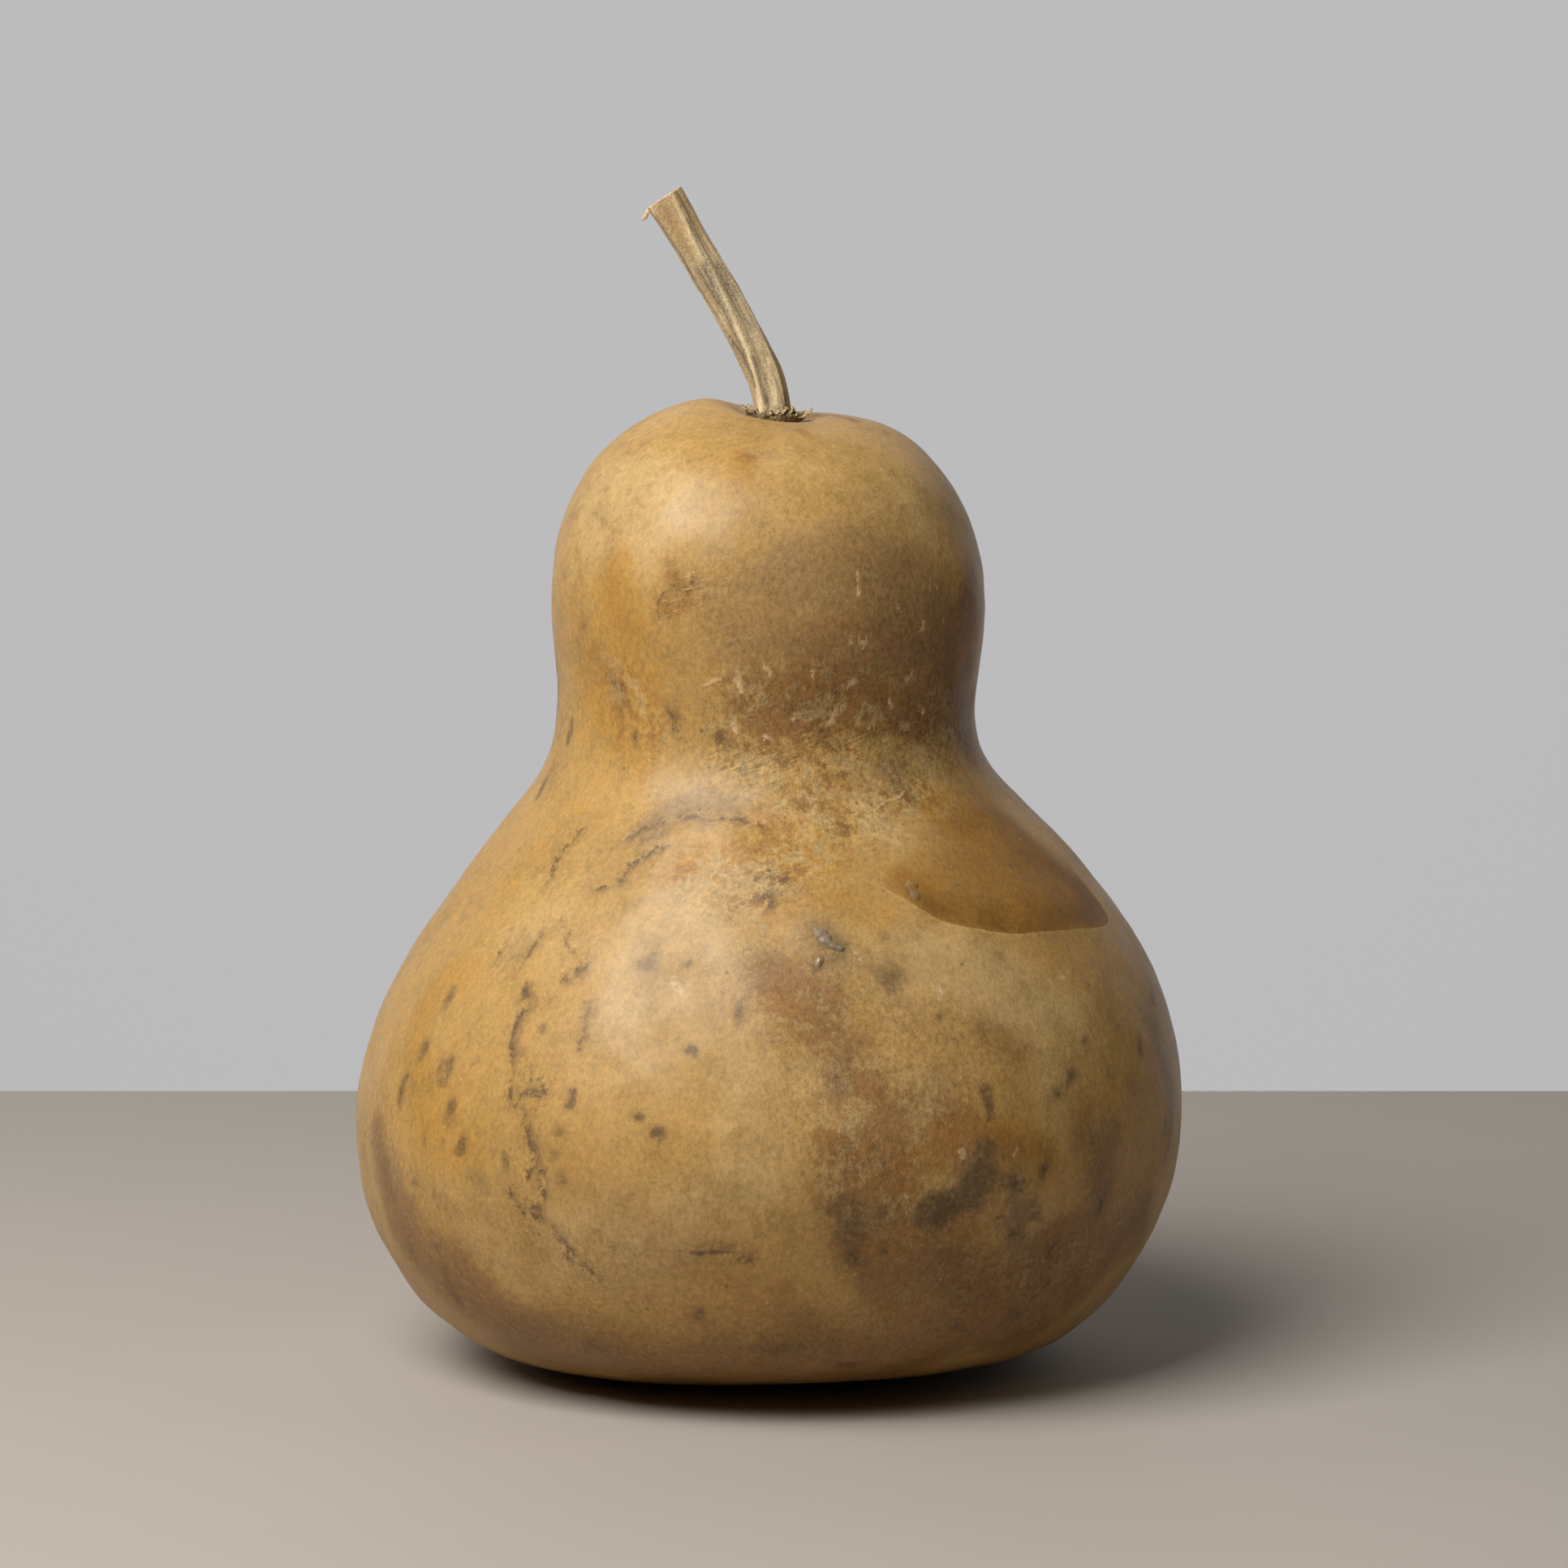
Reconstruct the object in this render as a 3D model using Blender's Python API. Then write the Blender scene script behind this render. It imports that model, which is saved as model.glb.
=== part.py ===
"""A dried bottle gourd that stands on its own flattened base.

The fruit is one solid, with a broad belly, a waist, a smaller head and a dimple at the top.
A five-ribbed, twisted stalk stands in a blind socket in the dimple, and a torn corky collar
lies round its foot. Units are metres, +Z is up, +X is the right-hand side and -Y the front.
The origin is the middle of the footprint, on the surface that the gourd stands on.
"""

import random

import bpy
import numpy as np
from mathutils import Vector
from mathutils.bvhtree import BVHTree

MM = 0.001

# The fruit from its base to its shoulder, in millimetres: the height, then how far the skin
# stands from the upright axis on the right, on the left, and on the front and back.
SIDE_ROWS = (
    (0.0, 22.5, 40.0, 28.5),
    (1.5, 37.0, 52.5, 37.0),
    (4.0, 57.5, 62.5, 48.0),
    (8.0, 66.5, 69.0, 61.5),
    (16.0, 75.5, 78.0, 74.0),
    (32.0, 85.5, 87.0, 82.5),
    (54.0, 90.5, 90.5, 89.0),
    (80.0, 86.5, 84.0, 84.0),
    (102.0, 74.5, 70.5, 71.5),
    (120.0, 58.5, 57.0, 57.0),
    (134.0, 46.5, 48.0, 46.5),
    (145.0, 45.0, 46.0, 44.5),
    (168.0, 47.0, 47.5, 46.5),
    (187.0, 42.5, 44.0, 42.5),
)
# The crown from the shoulder into the dimple, in millimetres: the reach on the right and left,
# then the height on the right, left, front and back. Its left side stands highest.
CROWN_ROWS = (
    (34.0, 34.5, 199.1, 201.3, 199.6, 200.2),
    (26.0, 25.5, 204.7, 207.5, 205.0, 205.8),
    (19.0, 18.0, 206.8, 210.3, 206.9, 207.4),
    (13.5, 12.5, 207.3, 210.9, 207.4, 207.7),
    (9.4, 7.8, 206.3, 209.0, 206.4, 206.7),
    (6.7, 5.0, 205.8, 206.5, 205.7, 205.9),
)
COLUMNS = 56
SIDE_STEP = 7.5 * MM
CROWN_STEP = 3.2 * MM

# Broad swells and hollows, which keep the fruit from looking turned: how many there are, the
# narrowest and widest, the most that one stands out or lies in, and the heights they lie at.
SWELLS = 26
SWELL_WIDTHS = (20.0 * MM, 36.0 * MM)
SWELL_RISE = 0.7 * MM
SWELL_HEIGHTS = (18.0 * MM, 182.0 * MM)
SWELL_SEED = 11

# The scar where the flower dropped off, a shallow pit in the flat base with a nub in its middle:
# the reach and the depth of each ring from the nub to the flat face.
SCAR_MIDDLE = (-9.0 * MM, 1.0 * MM)
SCAR_NUB_DEPTH = 0.35 * MM
SCAR_RINGS = ((1.7 * MM, 0.5 * MM), (2.8 * MM, 1.2 * MM), (6.0 * MM, 1.0 * MM), (8.5 * MM, 0.0))

# The round plug at the foot of the stalk, and the blind socket that it stands in.
STEM_PLUG_RADIUS = 4.2 * MM
SOCKET_CLEARANCE = 0.35 * MM
SOCKET_MIDDLE = (0.9 * MM, 0.0)
SOCKET_RADIUS = STEM_PLUG_RADIUS + SOCKET_CLEARANCE
SOCKET_RIM = 205.65 * MM
SOCKET_FLOOR = 201.6 * MM

# The middle line of the stalk from its root to the cut, in millimetres.
STEM_LINE = (
    (0.9, 0.0, 201.9),
    (0.9, 0.0, 205.2),
    (0.7, 0.0, 208.7),
    (-0.2, 0.1, 213.7),
    (-2.7, 0.3, 220.0),
    (-7.4, 0.6, 228.9),
    (-13.7, 1.0, 239.4),
    (-20.1, 1.4, 249.9),
    (-22.9, 1.6, 254.5),
)
STEM_COLUMNS = 40
STEM_STEP = 2.1 * MM
STEM_RADIUS = 4.05 * MM
STEM_CUT_RADIUS = 4.5 * MM
STEM_CUT_FLARE = 12.0 * MM

# The ribs are rounded, with narrow grooves between them, and wind round the stalk from its foot.
# Angles are in degrees, with -90 at the front.
STEM_RIBS = 5
STEM_GROOVE_DEPTH = 0.75 * MM
STEM_GROOVE_NARROWNESS = 4
STEM_FOOT_RIB = -139.0
STEM_TWIST = 76.0
STEM_PLUG_TOP = 205.6 * MM
STEM_RIBS_FULL = 209.0 * MM
STEM_CUT_ROUGHNESS = 0.35 * MM
STEM_CUT_RINGS = ((0.72, -0.1 * MM), (0.36, 0.7 * MM))
STEM_PITH_DEPTH = 0.9 * MM
STEM_SEED = 5

# The torn collar round the foot of the stalk, with a gap to the skin under it.
COLLAR_COLUMNS = 60
COLLAR_HOLE = 4.6 * MM
COLLAR_REACH = 5.3 * MM
COLLAR_TOP = 207.5 * MM
COLLAR_LIP = 0.5 * MM
COLLAR_GAP = 0.4 * MM
# Its section: how far out its underside turns up and its shoulder lies, as shares of the way to
# the tip, and how far the shoulder and the hole's edge rise, as shares of the tip's height.
COLLAR_UNDERSIDE_SHARE = 0.6
COLLAR_SHOULDER_SHARE = 0.5
COLLAR_SHOULDER_RISE = 0.45
COLLAR_HOLE_RISE = 0.2
FLAKE_BLUNTNESS = 0.7
# The skin under the collar is felt for from this height.
PROBE_HEIGHT = 260.0 * MM
# Each flake's direction and half its width in degrees, then its reach from the middle of the
# stalk and the height of its tip in millimetres.
COLLAR_FLAKES = (
    (-14.0, 17.0, 7.9, 208.9),
    (28.0, 20.0, 6.8, 208.3),
    (68.0, 18.0, 6.3, 208.6),
    (104.0, 16.0, 6.1, 208.0),
    (140.0, 19.0, 6.4, 209.0),
    (178.0, 17.0, 6.3, 209.7),
    (214.0, 15.0, 6.5, 209.5),
    (248.0, 18.0, 6.2, 208.6),
    (284.0, 16.0, 6.0, 208.1),
    (314.0, 15.0, 6.4, 208.2),
)

# Each material's colour and roughness.
GOURD_PAINT = ((0.50, 0.29, 0.09), 0.42)
STEM_PAINT = ((0.42, 0.30, 0.16), 0.7)
COLLAR_PAINT = ((0.36, 0.24, 0.12), 0.8)


def clear_scene():
    """Start from nothing."""
    for thing in list(bpy.data.objects):
        bpy.data.objects.remove(thing, do_unlink=True)


def new_material(name, colour, roughness):
    """A Principled material with one colour and one roughness."""
    made = bpy.data.materials.new(name)
    made.use_nodes = True
    shader = made.node_tree.nodes["Principled BSDF"]
    shader.inputs["Base Color"].default_value = (*colour, 1.0)
    shader.inputs["Roughness"].default_value = roughness
    shader.inputs["Metallic"].default_value = 0.0
    return made


def eased(share):
    """A smooth step from 0 to 1."""
    share = np.clip(share, 0.0, 1.0)
    return share * share * (3.0 - 2.0 * share)


def turn(count):
    """Evenly spaced angles once round, anticlockwise seen from above."""
    return np.linspace(0.0, 2.0 * np.pi, count, endpoint=False)


def smooth_rows(rows, along, read):
    """Read rows of numbers at places along a natural cubic spline through them."""
    count = len(rows)
    spans = np.diff(along)
    system = np.eye(count)
    wanted = np.zeros_like(rows)
    for i in range(1, count - 1):
        system[i, i - 1 : i + 2] = spans[i - 1], 2.0 * (spans[i - 1] + spans[i]), spans[i]
        slope_before = (rows[i] - rows[i - 1]) / spans[i - 1]
        slope_after = (rows[i + 1] - rows[i]) / spans[i]
        wanted[i] = 6.0 * (slope_after - slope_before)
    bend = np.linalg.solve(system, wanted)

    span = np.clip(np.searchsorted(along, read, side="right") - 1, 0, count - 2)
    width = spans[span][:, None]
    past = (read - along[span])[:, None]
    left = width - past
    curve = (bend[span] * left**3 + bend[span + 1] * past**3) / (6.0 * width)
    from_start = (rows[span] / width - bend[span] * width / 6.0) * left
    from_end = (rows[span + 1] / width - bend[span + 1] * width / 6.0) * past
    return curve + from_start + from_end


def from_four_sides(angles, right, left, front, back):
    """Blend values given on four sides smoothly round the fruit."""
    even = 0.25 * (right + left + front + back)
    across = 0.5 * (right - left) * np.cos(angles)
    deep = 0.5 * (back - front) * np.sin(angles)
    oval = 0.25 * (right + left - front - back) * np.cos(2.0 * angles)
    return even + across + deep + oval


def fruit_rows():
    """Every row of the outline as reach on the right, left, front and back, then the heights."""
    rows = []
    for height, right, left, front in SIDE_ROWS:
        rows.append((right, left, front, front, height, height, height, height))
    for right, left, *heights in CROWN_ROWS:
        middle = 0.5 * (right + left)
        rows.append((right, left, middle, middle, *heights))
    return np.array(rows) * MM


def outline_rings():
    """The fruit's skin from the edge of the flat base to the floor of the dimple."""
    rows = fruit_rows()
    reach = rows[:, :4].mean(axis=1)
    height = rows[:, 4:].mean(axis=1)
    along = np.concatenate([[0.0], np.cumsum(np.hypot(np.diff(reach), np.diff(height)))])
    shoulder = along[len(SIDE_ROWS) - 1]
    side_count = round(shoulder / SIDE_STEP)
    crown_count = round((along[-1] - shoulder) / CROWN_STEP)
    side_reads = np.linspace(0.0, shoulder, side_count, endpoint=False)
    crown_reads = np.linspace(shoulder, along[-1], crown_count + 1)
    table = smooth_rows(rows, along, np.concatenate([side_reads, crown_reads]))

    angles = turn(COLUMNS)
    columns = [table[:, i : i + 1] for i in range(8)]
    out = from_four_sides(angles, *columns[:4])
    up = from_four_sides(angles, *columns[4:])
    out = out + swells(out, up, angles)
    return np.stack([out * np.cos(angles), out * np.sin(angles), up], axis=2)


def swells(out, up, angles):
    """How far broad swells and hollows move the skin outward.

    They fade to nothing on the right and left, where the outline is already exact.
    """
    draw = random.Random(SWELL_SEED)
    moved = np.zeros_like(out)
    for _ in range(SWELLS):
        angle = draw.uniform(0.0, 2.0 * np.pi)
        height = draw.uniform(*SWELL_HEIGHTS)
        width = draw.uniform(*SWELL_WIDTHS)
        rise = draw.uniform(-SWELL_RISE, SWELL_RISE)
        away = np.angle(np.exp(1j * (angles - angle))) * out
        moved += rise * np.exp(-(away**2 + (up - height) ** 2) / width**2)
    return moved * np.sin(angles) ** 2


def circle(middle, radius, height, count):
    """A level ring of points."""
    angles = turn(count)
    across = middle[0] + radius * np.cos(angles)
    deep = middle[1] + radius * np.sin(angles)
    return np.stack([across, deep, np.full(count, height)], axis=1)


def solid_from_rings(name, rings, first, last, paint):
    """Make one closed solid from rings of points, with a middle point at each end.

    The rings run anticlockwise seen from the end that they run towards.
    """
    count = len(rings[0])
    points = [tuple(first)]
    for ring in rings:
        points.extend(tuple(point) for point in ring)
    points.append(tuple(last))
    faces = []
    for column in range(count):
        after = (column + 1) % count
        faces.append((0, 1 + after, 1 + column))
        for ring in range(len(rings) - 1):
            low = 1 + ring * count
            high = low + count
            faces.append((low + column, low + after, high + after, high + column))
        top = 1 + (len(rings) - 1) * count
        faces.append((top + column, top + after, len(points) - 1))
    return new_object(name, points, faces, paint)


def new_object(name, points, faces, paint):
    """Make a smooth-shaded object from points and faces."""
    mesh = bpy.data.meshes.new(name)
    mesh.from_pydata(points, [], faces)
    mesh.materials.append(paint)
    mesh.shade_smooth()
    mesh.update()
    made = bpy.data.objects.new(name, mesh)
    bpy.context.scene.collection.objects.link(made)
    return made


def make_gourd_body():
    """The fruit, from the scar in its flat base to the socket in its crown."""
    scar = [circle(SCAR_MIDDLE, reach, depth, COLUMNS) for reach, depth in SCAR_RINGS]
    skin = list(outline_rings())
    socket = [
        circle(SOCKET_MIDDLE, SOCKET_RADIUS, SOCKET_RIM, COLUMNS),
        circle(SOCKET_MIDDLE, SOCKET_RADIUS, SOCKET_FLOOR, COLUMNS),
    ]
    nub = (*SCAR_MIDDLE, SCAR_NUB_DEPTH)
    floor = (*SOCKET_MIDDLE, SOCKET_FLOOR)
    paint = new_material("gourd_skin", *GOURD_PAINT)
    return solid_from_rings("gourd_body", scar + skin + socket, nub, floor, paint)


def stem_line():
    """Points along the middle of the stalk, their directions and how far along each lies."""
    rows = np.array(STEM_LINE) * MM
    steps = np.linalg.norm(np.diff(rows, axis=0), axis=1)
    along = np.concatenate([[0.0], np.cumsum(steps)])
    read = np.linspace(0.0, along[-1], round(along[-1] / STEM_STEP) + 1)
    points = smooth_rows(rows, along, read)
    ways = np.gradient(points, read, axis=0)
    ways /= np.linalg.norm(ways, axis=1)[:, None]
    return points, ways, read


def stem_section(height, share, to_cut):
    """The stalk's reach at each angle: a round plug in the socket, then five rounded ribs."""
    angles = turn(STEM_COLUMNS)
    first_rib = np.radians(STEM_FOOT_RIB + STEM_TWIST * share)
    groove = np.sin(0.5 * STEM_RIBS * (angles - first_rib)) ** STEM_GROOVE_NARROWNESS
    flare = eased(1.0 - to_cut / STEM_CUT_FLARE)
    ribbed = STEM_RADIUS + (STEM_CUT_RADIUS - STEM_RADIUS) * flare - STEM_GROOVE_DEPTH * groove
    raised = eased((height - STEM_PLUG_TOP) / (STEM_RIBS_FULL - STEM_PLUG_TOP))
    return STEM_PLUG_RADIUS + (ribbed - STEM_PLUG_RADIUS) * raised


def make_stem():
    """The twisted stalk, from its plug in the socket to its rough cut end."""
    draw = random.Random(STEM_SEED)
    points, ways, read = stem_line()
    angles = turn(STEM_COLUMNS)
    deep = np.array([0.0, 1.0, 0.0])
    rings = []
    for point, way, along in zip(points, ways, read):
        across = np.cross(deep, way)
        across /= np.linalg.norm(across)
        inward = np.cross(way, across)
        reach = stem_section(point[2], along / read[-1], read[-1] - along)
        rings.append(
            point
            + np.outer(reach * np.cos(angles), across)
            + np.outer(reach * np.sin(angles), inward)
        )

    rough = [draw.uniform(-STEM_CUT_ROUGHNESS, STEM_CUT_ROUGHNESS) for _ in angles]
    rough = 0.5 * (np.array(rough) + np.roll(rough, 1))
    rings[-1] = rings[-1] + np.outer(rough, ways[-1])
    rim = rings[-1]
    for share, depth in STEM_CUT_RINGS:
        rings.append(points[-1] + (rim - points[-1]) * share - ways[-1] * depth)
    pith = points[-1] - ways[-1] * STEM_PITH_DEPTH
    paint = new_material("dry_stalk", *STEM_PAINT)
    return solid_from_rings("stem", rings, points[0], pith, paint)


def flake_shape(angles):
    """The collar's reach and tip height at each angle, from its list of torn flakes."""
    reach = np.full(len(angles), COLLAR_REACH)
    tip = np.full(len(angles), COLLAR_TOP)
    for direction, half_width, far, high in COLLAR_FLAKES:
        away = np.degrees(np.angle(np.exp(1j * (angles - np.radians(direction)))))
        share = np.clip(1.0 - np.abs(away) / half_width, 0.0, 1.0) ** FLAKE_BLUNTNESS
        reach = np.maximum(reach, COLLAR_REACH + (far * MM - COLLAR_REACH) * share)
        tip = np.maximum(tip, COLLAR_TOP + (high * MM - COLLAR_TOP) * share)
    return reach, tip


def skin_height(surface, place):
    """The height of the fruit's skin under a place seen from above."""
    above = Vector((*place, PROBE_HEIGHT))
    return surface.ray_cast(above, Vector((0.0, 0.0, -1.0)))[0].z


def collar_section(surface, angle, far, high):
    """The collar's section at one angle: along its underside, round its tip and back over its top."""
    way = np.array([np.cos(angle), np.sin(angle)])
    width = far - COLLAR_HOLE
    hole = np.array(SOCKET_MIDDLE) + way * COLLAR_HOLE
    underside = hole + way * width * COLLAR_UNDERSIDE_SHARE
    shoulder = hole + way * width * COLLAR_SHOULDER_SHARE
    edge = hole + way * width
    lowest_tip = skin_height(surface, edge) + COLLAR_GAP
    rise = high - COLLAR_TOP
    return (
        (*hole, skin_height(surface, hole) + COLLAR_GAP),
        (*underside, skin_height(surface, underside) + COLLAR_GAP),
        (*edge, max(high - COLLAR_LIP, lowest_tip)),
        (*edge, max(high, lowest_tip + COLLAR_LIP)),
        (*shoulder, COLLAR_TOP + COLLAR_SHOULDER_RISE * rise),
        (*hole, COLLAR_TOP + COLLAR_HOLE_RISE * rise),
    )


def make_stem_collar(gourd_body):
    """The torn ring round the stalk. It rests a hair above the dimple, with its flakes turned up."""
    surface = BVHTree.FromObject(gourd_body, bpy.context.evaluated_depsgraph_get())
    angles = turn(COLLAR_COLUMNS)
    reach, tip = flake_shape(angles)
    sections = [collar_section(surface, *row) for row in zip(angles, reach, tip)]
    corners = len(sections[0])
    points = [point for section in sections for point in section]
    faces = []
    for column in range(COLLAR_COLUMNS):
        here = column * corners
        after = (column + 1) % COLLAR_COLUMNS * corners
        for corner in range(corners):
            following = (corner + 1) % corners
            faces.append((here + corner, after + corner, after + following, here + following))
    paint = new_material("torn_cork", *COLLAR_PAINT)
    return new_object("stem_collar", points, faces, paint)


def main():
    clear_scene()
    gourd_body = make_gourd_body()
    make_stem()
    make_stem_collar(gourd_body)


main()
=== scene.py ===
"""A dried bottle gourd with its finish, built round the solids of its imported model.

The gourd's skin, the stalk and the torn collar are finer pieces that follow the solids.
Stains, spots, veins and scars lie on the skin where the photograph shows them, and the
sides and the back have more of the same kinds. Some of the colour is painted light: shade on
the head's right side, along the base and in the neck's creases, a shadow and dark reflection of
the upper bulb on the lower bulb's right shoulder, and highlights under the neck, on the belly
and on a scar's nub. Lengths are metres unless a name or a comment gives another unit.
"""

import math
import random

import bpy
import numpy as np
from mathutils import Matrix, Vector
from mathutils.bvhtree import BVHTree


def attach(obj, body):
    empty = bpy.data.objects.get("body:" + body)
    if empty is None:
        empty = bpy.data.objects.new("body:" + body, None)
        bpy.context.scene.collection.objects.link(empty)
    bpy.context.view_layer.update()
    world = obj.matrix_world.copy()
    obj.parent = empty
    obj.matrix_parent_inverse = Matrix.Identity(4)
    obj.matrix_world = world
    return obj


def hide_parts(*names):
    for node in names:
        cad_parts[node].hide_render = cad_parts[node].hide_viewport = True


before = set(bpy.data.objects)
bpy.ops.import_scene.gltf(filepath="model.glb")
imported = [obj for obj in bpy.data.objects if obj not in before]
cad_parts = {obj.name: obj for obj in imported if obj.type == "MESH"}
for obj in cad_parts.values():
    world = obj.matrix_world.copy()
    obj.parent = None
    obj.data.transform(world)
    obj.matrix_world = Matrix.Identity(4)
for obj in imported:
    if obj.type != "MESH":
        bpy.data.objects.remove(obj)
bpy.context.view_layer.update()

MM = 0.001
NEAR_ZERO = 1e-18

# The photograph's camera: its frame, its focal length in pixels, its place and its tilt down.
PHOTO_SIDE = 1932
FOCAL_PIXELS = 8200.0
SENSOR_MM = 36.0
CAMERA_PLACE = (0.0032, -1.44, 0.3147)
CAMERA_TILT = math.radians(7.43)
CAMERA_SIGHT_END = 20.0
PIXEL = 0.1768 * MM

# The fine skin: its columns and rows, and the places on the solid that it follows.
SOLID_COLUMNS = 56
SKIN_COLUMNS = 440
SKIN_ROWS = 196
FLAT_ROWS = 9
SCAR_ROWS = 10
SCAR_FIRST_SHARE = 0.03
SCAR_MIDDLE = (-9.0 * MM, 1.0 * MM)
SCAR_REACH = 8.5 * MM
SCAR_DEPTH = 1.2 * MM
SCAR_MARGIN = 2.0 * MM
SCAR_TOP = 3.0 * MM
SCAR_NUB_REACH = 1.6 * MM
SCAR_NUB_RISE = 0.85 * MM
SOCKET_MIDDLE = (0.9 * MM, 0.0)
SOCKET_RADIUS = 4.55 * MM
SOCKET_MARGIN = 0.5 * MM
SOCKET_RIM = 205.65 * MM
SOCKET_FLOOR = 201.6 * MM
WAIST_HEIGHT = 145.0 * MM

# The low relief of the skin in layers, each with its depth, the length of its waves and its
# seed. It starts at a distance from the floor and the stalk, and is full one reach further.
# Dark spots dip a little.
SKIN_RELIEF = ((0.16 * MM, 22.0 * MM, 1), (0.05 * MM, 8.0 * MM, 2), (0.015 * MM, 3.5 * MM, 3))
SPOT_DEPTH = 0.05 * MM
FLOOR_CLEARANCE = (0.5 * MM, 9.0 * MM)
STEM_CLEARANCE = (8.0 * MM, 8.0 * MM)

# How strokes are laid. Paths are read in fine steps. A wander, with a wave length and a seed,
# pushes a stroke's outline by a share of its width, and the broad one is for broad strokes.
# Strokes and lines are laid as far out as some times their width.
PATH_STEP = 0.6 * MM
LEAST_MARK = 1.6 * MM
LEAST_STALK_MARK = 0.3 * MM
BROAD_WANDER = (34.0 * MM, 100)
FINE_WANDER = (9.0 * MM, 200)
BROAD_STROKE = 5.0 * MM
STROKE_PUSH = 0.28
STROKE_REACH = 2.6
LINE_ZONES = {"veins": 2.4 * MM, "dashes": 1.3 * MM}
LINE_PUSH = 0.5 * MM
LINE_REACH = 3.0
FAR_FROM_LINE = 9.0
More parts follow.
